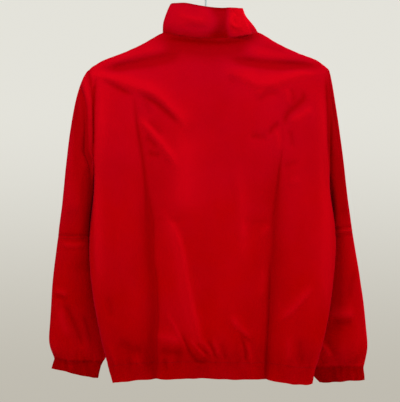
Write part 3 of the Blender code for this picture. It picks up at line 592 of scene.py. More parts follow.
# %% Long folds of the back
# They are the armholes' drag, the rolls along the side seams, and the slack beside the spine.
add_folds("body", "back", [
    (-3.6, 3, 3, FIRM, (228, 195), (233, 245), (235, 310), (235, 380)),
    (-3.0, 3, 3, FIRM, (-229, 195), (-232, 250), (-234, 320), (-234, 400)),
    (4.6, 13, 7, FIRM, (-216, 200), (-221, 280), (-228, 370), (-234, 470), (-235, 560),
     (-228, 700)),
    (3.2, 6, 13, FIRM, (216, 200), (221, 300), (227, 380), (230, 470), (228, 560), (222, 680)),
    (2.8, 17, 34, FIRM, (62, 318), (58, 370), (58, 430), (62, 506)),
    (4.2, 17, 6, FIRM, (118, 478), (88, 500), (68, 532), (56, 575), (49, 621), (40, 665),
     (31, 705), (20, 750), (10, 788)),
    (1.4, 10, 14, SOFT, (-45, 380), (-58, 450), (-62, 520), (-64, 600)),
    (1.3, 8, 7, FIRM, (-100, 595), (-103, 628), (-98, 665)),
])

# %% Crumples above the hem
# The hem's elastic leaves them in the cloth above it.
add_folds("body", "back", [
    (2.0, 3, 3, FIRM, (92, 680), (71, 715), (61, 735), (44, 768)),
    (2.6, 10, 12, FIRM, (120, 733), (95, 736), (78, 739), (55, 744)),
    (-2.4, 9, 9, SOFT, (108, 762), (76, 766), (48, 769)),
    (-3.0, 4, 3, FIRM, (64, 716), (50, 746), (37, 772), (20, 786), (-4, 778)),
    (2.6, 3, 3, FIRM, (44, 736), (27, 757), (6, 779)),
    (-2.2, 3, 3, FIRM, (32, 742), (16, 761), (-2, 774)),
    (2.2, 3, 3, FIRM, (20, 738), (6, 757), (-6, 776)),
    (-2.2, 3, 3, FIRM, (10, 736), (-3, 756), (-10, 780)),
    (2.4, 3, 3, FIRM, (-2, 736), (-10, 756), (-18, 778)),
    (-1.5, 4, 4, FIRM, (-18, 742), (-24, 760), (-30, 786)),
    (2.8, 4, 9, FIRM, (-36, 688), (-54, 718), (-84, 741)),
    (-1.6, 3, 3, FIRM, (-46, 706), (-62, 730), (-86, 744)),
    (-2.3, 3, 4, FIRM, (-56, 730), (-68, 760), (-68, 792)),
    (2.0, 3, 4, FIRM, (-66, 740), (-76, 766), (-78, 792)),
    (2.6, 9, 5, FIRM, (-208, 632), (-180, 661), (-159, 684), (-126, 708)),
    (-2.0, 11, 11, SOFT, (188, 740), (160, 760), (130, 766)),
    (-1.4, 7, 7, SOFT, (206, 650), (203, 676), (198, 702)),
    (1.6, 5, 5, FIRM, (206, 745), (200, 770), (190, 795)),
    (-1.8, 7, 7, FIRM, (-172, 735), (-180, 765), (-182, 800)),
    (1.5, 6, 6, FIRM, (-150, 735), (-154, 762), (-150, 792)),
    (1.3, 3, 3, FIRM, (150, 766), (146, 782), (140, 800)),
    (-1.3, 3, 3, FIRM, (92, 776), (90, 790), (86, 806)),
])

# %% Folds of the sleeves' backs
# They are the drag from the sleeve head, the elbow's creases, and the wrist's slack.
add_folds("sleeves", "back", [
    (-5.6, 6, 5, FIRM, (290, 180), (267, 235), (256, 265), (251, 305), (250, 360), (249, 460)),
    (-5.0, 17, 3, SOFT, (252, 280), (248, 370), (246, 460), (247, 600)),
    (-2.8, 16, 14, SOFT, (290, 190), (276, 270), (266, 350), (264, 430), (266, 520)),
    (1.6, 5, 5, FIRM, (262, 196), (252, 236), (243, 270), (238, 320)),
    (-7.2, 26, 30, SOFT, (-240, 190), (-246, 280), (-250, 380), (-248, 460), (-245, 540)),
    (2.2, 4, 4, FIRM, (304, 553), (285, 555), (262, 553)),
    (-1.2, 3, 4, FIRM, (302, 544), (280, 546), (258, 544)),
    (1.9, 4, 6, FIRM, (322, 648), (305, 652), (288, 658)),
    (-2.0, 6, 4, FIRM, (322, 659), (303, 663), (288, 670)),
    (-3.0, 6, 7, FIRM, (300, 664), (290, 692), (278, 718), (269, 745), (260, 772)),
    (1.8, 9, 9, SOFT, (308, 680), (302, 712), (293, 750)),
    (-2.2, 6, 7, FIRM, (262, 690), (251, 728), (244, 772)),
    (3.8, 7, 13, FIRM, (-236, 690), (-262, 697), (-300, 699)),
    (-2.2, 9, 7, SOFT, (-246, 711), (-270, 715), (-294, 713)),
    (4.6, 4, 5, FIRM, (-222, 740), (-246, 770), (-258, 790)),
    (-1.8, 4, 4, FIRM, (-246, 746), (-258, 770), (-266, 788)),
    (-1.4, 7, 7, SOFT, (-300, 600), (-286, 640), (-280, 672)),
    (-1.6, 3, 3, FIRM, (-225, 517), (-262, 519), (-302, 518)),
    (1.8, 3, 3, FIRM, (-225, 525), (-262, 526), (-302, 525)),
    (-1.6, 3, 3, FIRM, (-225, 533), (-262, 534), (-302, 532)),
    (-1.3, 3, 3, FIRM, (318, 535), (280, 535), (240, 534)),
])

# %% Folds of the front
# The front was packed and hangs in the same way, so it has the same kinds of folds.
add_folds("body", "front", [
    (-2.6, 6, 6, CRISP, (140, 290), (132, 420), (124, 560), (118, 700), (114, 850)),
    (-2.6, 6, 6, CRISP, (-146, 300), (-134, 430), (-126, 570), (-120, 700), (-112, 850)),
    (1.6, 8, 12, SOFT, (200, 200), (150, 188), (105, 176)),
    (-3.0, 14, 10, SOFT, (215, 214), (150, 206), (90, 204)),
    (3.0, 8, 18, FIRM, (225, 230), (165, 242), (105, 272)),
    (1.6, 8, 12, SOFT, (-105, 176), (-150, 190), (-200, 204)),
    (-3.0, 14, 10, SOFT, (-90, 206), (-150, 208), (-215, 216)),
    (3.0, 8, 18, FIRM, (-100, 268), (-160, 246), (-222, 232)),
    (2.0, 8, 10, FIRM, (110, 300), (85, 345), (50, 400)),
    (-1.6, 7, 8, FIRM, (124, 330), (98, 370), (72, 412)),
    (2.0, 10, 8, FIRM, (-165, 310), (-110, 352), (-66, 404)),
    (-1.4, 8, 7, FIRM, (-180, 340), (-130, 378), (-90, 420)),
    (-0.9, 4, 4, CRISP, (110, 500), (70, 503), (30, 505)),
    (-0.9, 4, 4, CRISP, (-30, 505), (-75, 506), (-118, 502)),
    (2.6, 16, 10, FIRM, (75, 480), (66, 560), (52, 640), (46, 730)),
    (2.4, 10, 16, FIRM, (-60, 470), (-70, 560), (-64, 650), (-54, 740)),
    (-1.6, 6, 6, FIRM, (176, 690), (160, 730), (152, 780)),
    (1.6, 6, 6, FIRM, (86, 700), (74, 735), (68, 780)),
    (-1.6, 5, 6, FIRM, (56, 720), (44, 750), (40, 785)),
    (1.6, 6, 6, FIRM, (-90, 710), (-80, 745), (-82, 785)),
    (-1.6, 6, 5, FIRM, (-36, 715), (-46, 750), (-44, 785)),
    (2.0, 8, 8, FIRM, (-190, 650), (-165, 690), (-150, 740)),
])
add_folds("sleeves", "front", [
    (-2.4, 8, 8, SOFT, (276, 330), (282, 400), (284, 480)),
    (2.0, 6, 8, FIRM, (300, 500), (285, 512), (262, 530)),
    (-2.2, 7, 6, FIRM, (312, 556), (292, 566), (266, 572)),
    (-2.6, 7, 8, FIRM, (304, 668), (292, 710), (282, 765)),
    (2.0, 6, 6, FIRM, (272, 700), (266, 735), (262, 775)),
    (-2.2, 8, 8, SOFT, (-262, 340), (-268, 410), (-272, 480)),
    (2.0, 7, 7, FIRM, (-250, 515), (-272, 508), (-292, 496)),
    (-2.2, 7, 6, FIRM, (-252, 580), (-276, 574), (-300, 562)),
    (-2.6, 7, 8, FIRM, (-262, 680), (-276, 722), (-286, 775)),
    (2.0, 6, 6, FIRM, (-296, 700), (-300, 735), (-304, 775)),
])

# %% Folds of the collar
# The collar leans and buckles on the wearer's right, where it turns round the neck.
add_folds("collar", "back", [
    (-5.5, 22, 9, SOFT, (-20, 60), (-26, 100), (-20, 160)),
    (6.5, 22, 6, FIRM, (-58, 50), (-68, 100), (-80, 160)),
    (2.2, 2, 3, FIRM, (-34, 80), (-46, 90), (-56, 108)),
    (-2.0, 3, 2, FIRM, (-40, 80), (-54, 94), (-60, 112)),
    (2.0, 2, 2, FIRM, (-36, 110), (-50, 116), (-64, 116)),
    (-2.4, 4, 3, FIRM, (-40, 76), (-50, 98), (-52, 128)),
    (2.0, 3, 4, FIRM, (-36, 96), (-42, 112), (-62, 126)),
    (-1.8, 4, 3, FIRM, (-58, 88), (-66, 106), (-72, 130)),
    (1.2, 6, 6, SOFT, (70, 90), (40, 102), (10, 106)),
    (-1.2, 6, 6, SOFT, (60, 112), (30, 118), (0, 118)),
    (1.6, 13, 30, SOFT, (110, 104), (40, 112), (-20, 116), (-90, 108)),
])
add_folds("collar", "front", [
    (-1.2, 6, 6, SOFT, (60, 86), (52, 110), (50, 136)),
    (1.2, 6, 6, SOFT, (-50, 86), (-56, 110), (-52, 136)),
])
print("folds in all:", len(FOLDS))


# %% Folds as lifts
def smooth_line(line, steps=8):
    """More points along a rounded curve through the points of a line."""
    line = [np.array(place) for place in line]
    padded = [2 * line[0] - line[1], *line, 2 * line[-1] - line[-2]]
    made = []
    for before, start, end, after in zip(padded, padded[1:], padded[2:], padded[3:]):
        for t in np.arange(steps) / steps:
            made.append(0.5 * (2 * start + (end - before) * t
                        + (2 * before - 5 * start + 4 * end - after) * t**2
                        + (3 * start - before - 3 * end + after) * t**3))
    return np.array(made + [line[-1]])


FADE = 0.28                 # share of a fold's length over which each end dies away
SIDE_FADE = (0.15, 0.45)    # how squarely the cloth faces back or front for a fold to show
FAR = 4                     # a fold lifts nothing past this many times its reach


def distance_along(places, line):
    """Signed distance from each place to a line, and how far along the line it is nearest."""
    steps = np.diff(line, axis=0)
    lengths = np.hypot(steps[:, 0], steps[:, 1])
    starts = np.concatenate([[0], np.cumsum(lengths)])[:-1]
    nearest = np.full(len(places), np.inf)
    signed = np.zeros(len(places))
    along = np.zeros(len(places))
    for start, step, length, before in zip(line[:-1], steps, lengths, starts):
        t = np.clip((places - start) @ step / length**2, 0, 1)
        away = places - start - t[:, None] * step
        gap = np.hypot(away[:, 0], away[:, 1])
        closer = gap < nearest
        nearest[closer] = gap[closer]
        side = np.sign(step[0] * away[:, 1] - step[1] * away[:, 0])
        signed[closer] = (gap * side)[closer]
        along[closer] = ((before + t * length) / lengths.sum())[closer]
    return signed, along


def fold_lift(fold):
    """How far one fold lifts each point of the cloth."""
    line = smooth_line(fold.line)
    facing = normals[:, 1] if fold.face == "back" else -normals[:, 1]
    flat = points[:, [0, 2]] - (JACKET_X, 0)
    margin = FAR * max(fold.left, fold.right)
    inside = (flat > line.min(0) - margin) & (flat < line.max(0) + margin)
    near = parts[fold.part] & (facing > SIDE_FADE[0]) & inside.all(1)
    signed, along = distance_along(flat[near], line)
    reach = np.where(signed > 0, fold.left, fold.right)
    shape = np.exp(-np.abs(signed / reach) ** fold.sharp)
    ends = ramp(along, 0, FADE) * ramp(1 - along, 0, FADE)
    lift = np.zeros(len(points))
    lift[near] = fold.lift * shape * ends * ramp(facing[near], *SIDE_FADE)
    return lift


parts = {"body": on_body, "sleeves": on_sleeves, "collar": on_collar}
lift = np.zeros(len(points))
for fold in FOLDS:
    lift += fold_lift(fold)
print("folds reach from", round(lift.min() / MM, 1), "to", round(lift.max() / MM, 1), "mm")


# %% Waves, gathers and puckers
NOISE_GAIN = 1.6            # brings the noise to about -1 to 1


def crumple(size, shift, stretch=1.0):
    """A smooth random value from about -1 to 1 at every point. Its bumps are about one size
    across, and this many times longer up and down."""
    scale = np.array((1 / size, 1 / size, 1 / (size * stretch)))
    return np.array([noise.noise(place) for place in points * scale + shift]) * NOISE_GAIN


def near_seam(name, reach):
    """1 on a seam, fading to 0 past a distance from it."""
    return np.exp(-(from_seam[name] / reach) ** FIRM)


SEAM_GROOVES = {
    # how deep and how wide the groove along each seam is, and how much it puckers, in mm
    "elbow": (0.40, 3, 0.40),
    "hem": (0.0, 5, 0.45),
    "neck": (0.10, 8, 0.35),
    "armhole": (0.40, 4, 0.35),
    "side": (0.30, 4, 0.30),
    "cuff": (0.0, 6, 0.60),
}
calm = 1 - 0.7 * near_seam("neck", 50 * MM)     # the neck's seam holds the cloth flat
CRUMPLES = [
    # where, height and size of a bump in mm, shift of the noise, stretch up and down
    (calm, 0.8, 85, 3.1, 1.8),
    (calm, 0.25, 28, 8.4, 1.6),
    (on_body * near_seam("hem", 34 * MM), 1.0, 15, 5.5, 4.0),
    (on_sleeves * near_seam("cuff", 30 * MM), 1.7, 13, 2.7, 4.0),
    (among("cuff"), 1.3, 7, 4.2, 3.5),
    (on_collar, 0.5, 22, 9.3, 1.2),
]
PUCKER_SIZE = 9 * MM
PUCKER_REACH = 12 * MM
END_WAVE = 1.2 * MM         # how far the free ends of hem and cuffs stray from straight
END_WAVE_SIZE = 22 * MM
END_WAVE_REACH = 18 * MM

for where, height, size, shift, stretch in CRUMPLES:
    lift += where * height * MM * crumple(size * MM, shift, stretch)
puckers = MM * crumple(PUCKER_SIZE, 6.6)
for name, (depth, reach, pucker) in SEAM_GROOVES.items():
    lift -= depth * MM * near_seam(name, reach * MM)
    lift += pucker * puckers * near_seam(name, PUCKER_REACH)
points += normals * lift[:, None]
points[:, 2] += END_WAVE * crumple(END_WAVE_SIZE, 7.7) * near_seam("free_end", END_WAVE_REACH)
print("lifts reach from", round(lift.min() / MM, 1), "to", round(lift.max() / MM, 1), "mm")


# %% Ends turned under
HEM_TURN = (-0.735, -0.850, 9 * MM)     # heights it leans in from and to, and how far it goes
CUFF_TURN = (-0.772, -0.812, 12 * MM)
TURN_PAST = 1.2             # below its end the cloth leans on, to this many times the depth
TURN_CURVE = 1.6            # how late the lean begins
BODY_MIDDLE_Y = 0.0


def turned_under(chosen, middle, start, end, depth):
    """How far the chosen points move in depth when the cloth leans in towards its end."""
    away = points[:, 1] - middle
    lean = np.clip((start - points[:, 2]) / (start - end), 0, TURN_PAST) ** TURN_CURVE
    return -np.sign(away) * np.minimum(depth * lean, np.abs(away) / 2) * chosen


points[:, 1] += turned_under(on_body, BODY_MIDDLE_Y, *HEM_TURN)
for side in SIDES:
    cuff = in_panel["cuff_" + side]
    whole_sleeve = cuff | in_panel["sleeve_lower_" + side]
    points[:, 1] += turned_under(whole_sleeve, points[cuff][:, 1].mean(), *CUFF_TURN)
print("hem and cuffs turned under")

# %% The collar's right corner
# It leans in towards the neck, and dips. Each row has the direction that the points move in,
# how far, and the distances to the right and the heights between which the movement grows.
CORNER_MOVES = [
    (0, 6 * MM, (0.030, 0.070), (-0.138, -0.098)),
    (2, -3 * MM, (0.050, 0.078), (-0.115, -0.085)),
]

to_right = JACKET_X - points[:, 0]
heights = points[:, 2].copy()
for axis, most, from_middle, upwards in CORNER_MOVES:
    share = on_collar * ramp(to_right, *from_middle) * ramp(heights, *upwards)
    points[:, axis] += most * share
print("collar's corner moved:", int((share > 0).sum()), "points dip")

# %% Sleeves tucked in
Tuck = namedtuple("Tuck", "side top bottom fade shift")
TUCKS = [
    # 1 for the left sleeve or -1 for the right, the heights it runs between, how far past them
    # it fades, and how far it moves the cloth
    Tuck(1, -0.40, -0.57, 0.04, 12 * MM),
    Tuck(-1, -0.40, -0.50, 0.04, 9 * MM),
    Tuck(-1, -0.745, -0.830, 0.02, 13 * MM),
]
CLEAR = 1.5 * MM            # least distance from a tucked sleeve to the body
BACK_OFF = 10 * MM          # a ray to the body starts this far before its point
LOOK_PAST = 50 * MM         # and looks this far past its shift
TOWARDS_BODY = (-0.3, 0.5)  # how squarely the cloth faces the body to be moved
LEAST_SHIFT = 0.1 * MM
body_faces = [face for face in corners.tolist() if on_body[face].all()]
body_tree = BVHTree.FromPolygons(points.tolist(), body_faces)
for tuck in TUCKS:
    x = tuck.side * (points[:, 0] - JACKET_X)
    heights = ramp(points[:, 2], tuck.bottom - tuck.fade, tuck.bottom)
    heights *= 1 - ramp(points[:, 2], tuck.top, tuck.top + tuck.fade)
    inward = ramp(-tuck.side * normals[:, 0], *TOWARDS_BODY) * (x > 0)
    shift = tuck.shift * heights * inward * on_sleeves
    for point in np.flatnonzero(shift > LEAST_SHIFT):
        place = Vector(points[point])
        step = Vector((-tuck.side, 0, 0))
        hit = body_tree.ray_cast(place - step * BACK_OFF, step, shift[point] + LOOK_PAST)
        room = math.inf if hit[0] is None else hit[3] - BACK_OFF - CLEAR
        points[point][0] -= tuck.side * max(0, min(shift[point], room))
normals = put_back(points)
print("tucks:", len(TUCKS))

# %% [markdown]
# ## Finishes
#
# The cloth is a close plain weave of fine polyester yarn: threads about half a millimetre
# apart pass over and under each other, dyed a deep red, with a soft shine. The weave is one
# shader group, which the cloth and the zip's tapes use. It works on the piece's own UV map, in
# metres, so that the threads follow each panel. A second group makes slow drifts of tone, for
# every finish. On woven finishes the tone also follows height, as painted light: paler and
# cooler higher up. The height of each crease is kept as an attribute of the cloth, and painted
# light follows it: its ridges get a painted highlight, a little paler, and its troughs painted
# shade, a little deeper. The same attribute holds painted shade on the collar's top edge, the
# cuffs, the hem, the armholes and under the collar, and a painted highlight past the collar's
# bend.

# %% Shared groups
def new_group(name, inputs, outputs):
    """A node group with named sockets: its tree, its inputs inside, and its outputs inside."""
    group = bpy.data.node_groups.new(name, "ShaderNodeTree")
    for label, kind_of, value in inputs:
        socket = group.interface.new_socket(label, in_out="INPUT", socket_type=kind_of)
        if value is not None:
            socket.default_value = value
    for label, kind_of in outputs:
        group.interface.new_socket(label, in_out="OUTPUT", socket_type=kind_of)
    given = group.nodes.new("NodeGroupInput").outputs
    return group, given, group.nodes.new("NodeGroupOutput").inputs


def weave_group():
    """Threads that pass over and under each other, as a height."""
    group, given, result = new_group(
        "plain_weave",
        [("Vector", "NodeSocketVector", None), ("Thread", "NodeSocketFloat", 0.0005)],
        [("Height", "NodeSocketFloat")],
    )
    place = add_node(group, "ShaderNodeSeparateXYZ", {0: given["Vector"]}).outputs
    waves = []
    for axis in ("X", "Y"):
        turns = maths(group, "DIVIDE", place[axis], given["Thread"])
        waves.append(maths(group, "SINE", maths(group, "MULTIPLY", turns, math.pi)))
    rounds = [maths(group, "ABSOLUTE", wave) for wave in waves]
    warp_over = maths(group, "GREATER_THAN", maths(group, "MULTIPLY", *waves), 0.0)
    crowns = []
    for over, under in (rounds, rounds[::-1]):
        crown = maths(group, "ADD", maths(group, "MULTIPLY", under, 0.5), 0.5)
        crowns.append(maths(group, "MULTIPLY", over, crown))
    height = add_node(group, "ShaderNodeMix", {0: warp_over, 2: crowns[1], 3: crowns[0]})
    group.links.new(height.outputs[0], result["Height"])
    return group


def drift_group():
    """Slow drifts of tone over a surface, from 0 to 1."""
    group, given, result = new_group(
        "tone_drift",
        [("Vector", "NodeSocketVector", None), ("Size", "NodeSocketFloat", 0.05)],
        [("Tone", "NodeSocketFloat")],
    )
    scale = maths(group, "DIVIDE", 1.0, given["Size"])
    clouds = add_node(
        group, "ShaderNodeTexNoise",
        {"Vector": given["Vector"], "Scale": scale, "Detail": 3.0, "Roughness": 0.55},
    )
    even = add_node(group, "ShaderNodeMapRange",
                    {"Value": clouds.outputs["Fac"], "From Min": 0.3, "From Max": 0.7})
    group.links.new(even.outputs[0], result["Tone"])
    return group


WEAVE = weave_group()
DRIFT = drift_group()
print("groups:", WEAVE.name, DRIFT.name)


# %% Finish helpers
def use_group(tree, group, **inputs):
    """A group node with its inputs set, and its first output."""
    return add_node(tree, "ShaderNodeGroup", inputs, node_tree=group).outputs[0]


def drifting(name, tones, size, rough, rough_range=None, metallic=0.0):
    """A finish that drifts between two tones and, where a range is given, in roughness."""
    material, shader, tree = plain_material(name, tones[0], rough)
    shader.inputs["Metallic"].default_value = metallic
    drift = use_group(tree, DRIFT, Vector=solid_place(tree), Size=size)
    tree.links.new(blend_colours(tree, drift, *tones), shader.inputs["Base Color"])
    if rough_range:
        uneven = add_node(tree, "ShaderNodeMapRange",
                          {"Value": drift, "To Min": rough_range[0], "To Max": rough_range[1]})
        tree.links.new(uneven.outputs[0], shader.inputs["Roughness"])
    return material


print("finish helpers ready")

# %% Cloth finishes
LIT_FROM = (-0.62, -0.10)   # painted light: heights between which a paler, cooler tone takes over, up the jacket
LIT_SHARE = 0.7             # how much height, which paints the light, rather than drift, settles the tone
TROUGH_SHARE = 0.6          # how far a full trough goes to its painted shade tone, and then a full ridge to its painted highlight tone
RIDGE_SHARE = 0.5
PATCH_SIZE = 0.10           # size of the slow patches of tone
GRAIN_SIZE = 4 * MM         # size of the fine unevenness
GRAIN_LIFT = 0.8            # how much of it is added to the weave's height
ROUGH_SPREAD = (-0.05, 0.06)    # how much smoother and rougher than plain the cloth may be
SHEEN_TINT = coloured(1.0, 0.02, 0.12)
SHEEN_SOFTNESS = 0.3
BUMP_STRENGTH = 0.22
BUMP_HEIGHT = 0.3 * MM


def woven(name, tones, thread, sheen, rough, shade_and_highlight_tones=()):
    """Woven cloth: its two tones, the thread spacing, how much it shines, and the tones of the
    painted shade in its troughs and the painted highlight on its ridges, if it has any. All the
    shine is sheen, because a plain reflection turns pale at the edges."""
    material, shader, tree = plain_material(name, tones[0], rough)
    shader.inputs["Specular IOR Level"].default_value = 0.0
    shader.inputs["Sheen Weight"].default_value = sheen
    shader.inputs["Sheen Roughness"].default_value = SHEEN_SOFTNESS
    shader.inputs["Sheen Tint"].default_value = SHEEN_TINT
    flat = add_node(tree, "ShaderNodeUVMap", uv_map="pattern").outputs["UV"]
    solid = solid_place(tree)
    drift = use_group(tree, DRIFT, Vector=solid, Size=PATCH_SIZE)
    grain = use_group(tree, DRIFT, Vector=solid, Size=GRAIN_SIZE)
    # painted light: the tone turns paler and cooler higher up the cloth, as if lit from above
    height = add_node(tree, "ShaderNodeSeparateXYZ", {0: solid}).outputs["Z"]
    upper = add_node(tree, "ShaderNodeMapRange",
                     {"Value": height, "From Min": LIT_FROM[0], "From Max": LIT_FROM[1]})
    toned = add_node(tree, "ShaderNodeMix",
                     {"Factor": LIT_SHARE, "A": drift, "B": upper.outputs[0]})
    base = blend_colours(tree, toned.outputs[0], *tones)
    # painted shade darkens the troughs and a painted highlight makes the ridges paler, following the
    # crease attribute
    for share, tone in zip((-TROUGH_SHARE, RIDGE_SHARE), shade_and_highlight_tones):
        painted_shading = add_node(tree, "ShaderNodeAttribute", attribute_name="painted_shading").outputs["Fac"]
        amount = maths(tree, "MAXIMUM", maths(tree, "MULTIPLY", painted_shading, share), 0)
        base = blend_colours(tree, amount, base, tone)
    tree.links.new(base, shader.inputs["Base Color"])
    low, high = (rough + spread for spread in ROUGH_SPREAD)
    uneven = add_node(tree, "ShaderNodeMapRange", {"Value": grain, "To Min": low, "To Max": high})
    tree.links.new(uneven.outputs[0], shader.inputs["Roughness"])
    weave = use_group(tree, WEAVE, Vector=flat, Thread=thread)
    slub = maths(tree, "ADD", weave, maths(tree, "MULTIPLY", grain, GRAIN_LIFT))
    bump = add_node(tree, "ShaderNodeBump",
                    {"Height": slub, "Strength": BUMP_STRENGTH, "Distance": BUMP_HEIGHT})
    tree.links.new(bump.outputs[0], shader.inputs["Normal"])
    return material


red_cloth = woven(
    "red_cloth",
    tones=(coloured(0.48, 0.0001, 0.0003), coloured(0.50, 0.0005, 0.0100)),
    thread=0.45 * MM, sheen=0.34, rough=0.50,
    # tones of the painted shade in troughs and of the painted highlight on ridges
    shade_and_highlight_tones=(coloured(0.30, 0.0, 0.0004), coloured(0.66, 0.001, 0.007)),
)
tape_cloth = woven(
    "tape_cloth",
    tones=(coloured(0.30, 0.0005, 0.003), coloured(0.34, 0.001, 0.005)),
    thread=0.9 * MM, sheen=0.05, rough=0.65,
)
print("cloth finishes:", red_cloth.name, tape_cloth.name)

# %% Relief, with painted shade and highlights
PAINTED_SHADE_AND_HIGHLIGHT = [
    # painted light: how much paler the tone is as a painted highlight, or how much deeper as painted
    # shade if below zero, and where
    # painted shade along the collar's top edge
    (-1.6, on_collar * near_seam("collar_top", 3 * MM)),
    # painted highlight on the collar past its bend, on the wearer's right
    (0.9, on_collar * ramp(JACKET_X - points[:, 0], 30 * MM, 45 * MM)),
    # painted shade over the cuffs
    (-1.6, among("cuff")),
    # a little painted shade on the hem band
    (-0.1, among("hem_band")),
    # painted shade along the armhole seams, between sleeve and body
    (-1.2, near_seam("armhole", 4 * MM)),
    # painted shade above the hem
    (-0.5, near_seam("hem", 30 * MM)),
    # painted shadow under the collar, along the neck seam
    (-1.1, near_seam("neck", 11 * MM)),
]
RELIEF_FULL = 2.5 * MM      # a lift that counts as a whole ridge or trough
RELIEF_RANGE = (-1.7, 2.0)

# crease height paints shade into the troughs and a highlight onto the ridges
shown = np.clip(lift / RELIEF_FULL, -1, 1)
for amount, where in PAINTED_SHADE_AND_HIGHLIGHT:
    shown += amount * where
painted_shading = cloth.attributes.new("painted_shading", "FLOAT", "POINT")
painted_shading.data.foreach_set("value", np.clip(shown, *RELIEF_RANGE))
cloth.update()
print("relief from", round(shown.min(), 1), "to", round(shown.max(), 1))

# %% [markdown]
# ## Panels with thickness
#
# The finished surface goes back into its mesh and is separated by material, which gives one
# object for each panel of the pattern. Each gets a UV map that lays it flat: round the body,
# or round the sleeve, in metres one way and down it the other. A Solidify then gives it the
# thickness of its cloth, inwards. Collar, cuffs and hem are double, so they are thicker.

# %% Separate the panels
surface = BVHTree.FromPolygons(points.tolist(), corners.tolist())
for panel in PANELS:
    cloth.materials.append(bpy.data.materials.new(panel))
whole = bpy.data.objects.new("whole", cloth)
bpy.context.scene.collection.objects.link(whole)
bpy.ops.object.select_all(action="DESELECT")
bpy.context.view_layer.objects.active = whole
whole.select_set(True)
bpy.ops.object.mode_set(mode="EDIT")
bpy.ops.mesh.select_all(action="SELECT")
bpy.ops.mesh.separate(type="MATERIAL")
bpy.ops.object.mode_set(mode="OBJECT")
pieces = {}
for obj in list(bpy.context.selected_objects):
    holder = obj.data.materials[0]
    pieces[holder.name] = obj
    obj.name = "cloth_" + holder.name
    obj.data.materials[0] = red_cloth
    obj.select_set(False)
for panel in PANELS:
    bpy.data.materials.remove(bpy.data.materials[panel])
print("separated:", {panel: len(obj.data.polygons) for panel, obj in pieces.items()})


# %% Patterns laid flat
BODY_HALF = 0.24            # half the body's width
BODY_DEPTH = 0.06           # half its depth
SHORT_TUBE = 0.10           # a tube shorter than this has no lean of its own to follow


def body_pattern(places, faces):
    """Across and down a body panel. Where its sides turn forward, the depth counts too."""
    across = places[:, 0] - JACKET_X
    across = across * (1 + (BODY_DEPTH - np.abs(places[:, 1])) / BODY_HALF)
    return np.stack([across, places[:, 2]], axis=1)[faces.ravel()]


def tube_pattern(places, faces):
    """Round and down a panel that goes all the way round, cut open where the angle jumps."""
    middle = (places.max(0) + places.min(0)) / 2
    lean = [np.polyfit(places[:, 2], places[:, axis], 1) for axis in (0, 1)]
    if np.ptp(places[:, 2]) < SHORT_TUBE:
        lean = [(0, middle[0]), (0, middle[1])]
    out = [places[:, axis] - np.polyval(lean[axis], places[:, 2]) for axis in (0, 1)]
    radius = np.hypot(*out).mean()
    angle = np.arctan2(out[1], out[0])[faces]
    jumps = np.ptp(angle, axis=1) > math.pi
    angle[jumps] = np.where(angle[jumps] < 0, angle[jumps] + 2 * math.pi, angle[jumps])
    return np.stack([angle.ravel() * radius, places[faces.ravel(), 2]], axis=1)


for panel, obj in pieces.items():
    places = read(obj.data.vertices, "co", 3)
    faces = read(obj.data.loops, "vertex_index", 1, np.int32).reshape(-1, 4)
    on_flat_body = panel in ("back", "front_left", "front_right", "hem_band", "collar")
    pattern = body_pattern(places, faces) if on_flat_body else tube_pattern(places, faces)
    layer = obj.data.uv_layers.new(name="pattern")
    layer.data.foreach_set("uv", pattern.astype(np.float32).ravel())
print("UV maps:", len(pieces))

# %% [markdown]
# ## Stitching
#
# Rows of stitches hold the seams flat: two at each elbow, one round each cuff, the hem and the
# collar, and one down each side of the zip. They could be painted on, but a real stitch stands
# off its cloth and catches the light. So each is a small bead that lies along its row, on the
# surface. A row comes from the cloth itself: the edges between two panels are put in order,
# moved in from the seam, and divided at an even pitch.

# %% Rows of stitches
Row = namedtuple("Row", "panel other insets")
# A row has the panel that carries it, the panel across the seam, and distances from the seam.
ELBOW_INSETS = (1.8 * MM, 8.0 * MM)
BAND_INSETS = (2.0 * MM,)
ZIP_INSETS = (6.5 * MM,)
BODY_PANELS = ("back", "front_left", "front_right")
STITCH_ROWS = [
    *(Row("sleeve_lower_" + side, "sleeve_upper_" + side, ELBOW_INSETS) for side in SIDES),
    *(Row("cuff_" + side, "sleeve_lower_" + side, BAND_INSETS) for side in SIDES),
    *(Row("hem_band", panel, BAND_INSETS) for panel in BODY_PANELS),
    *(Row("collar", panel, BAND_INSETS) for panel in BODY_PANELS),
    *(Row("front_" + side, None, ZIP_INSETS) for side in SIDES),
]
STITCH_PITCH = 3.4 * MM
STITCH_SIZE = (0.7 * MM, 2.5 * MM, 0.6 * MM)   # across, along and off the cloth
ZIP_REACH = 9 * MM          # edges this near the centre plane are the fronts' edges
print("rows of stitches:", sum(len(row.insets) for row in STITCH_ROWS))

# %% Runs of seam edges
faces_of_edge = defaultdict(list)
for corner, edge in enumerate(edge_of_corner):
    faces_of_edge[int(edge)].append(corner // 4)


def seam_edges(panel, other):
    """Edges between two panels, or a panel's edges along the zip, each with its own face."""
    number = PANELS.index(panel)
    across = None if other is None else PANELS.index(other)
    found = []
    for edge, faces in faces_of_edge.items():
        numbers = [panel_of_face[face] for face in faces]
        if number not in numbers:
            continue
        if other is None:
            x = points[ends_of_edge[edge]][:, 0].mean() - JACKET_X
            wanted = len(faces) == 1 and abs(x) < ZIP_REACH
        else:
            wanted = len(faces) == 2 and across in numbers
        if wanted:
            found.append((edge, faces[numbers.index(number)]))
    return found


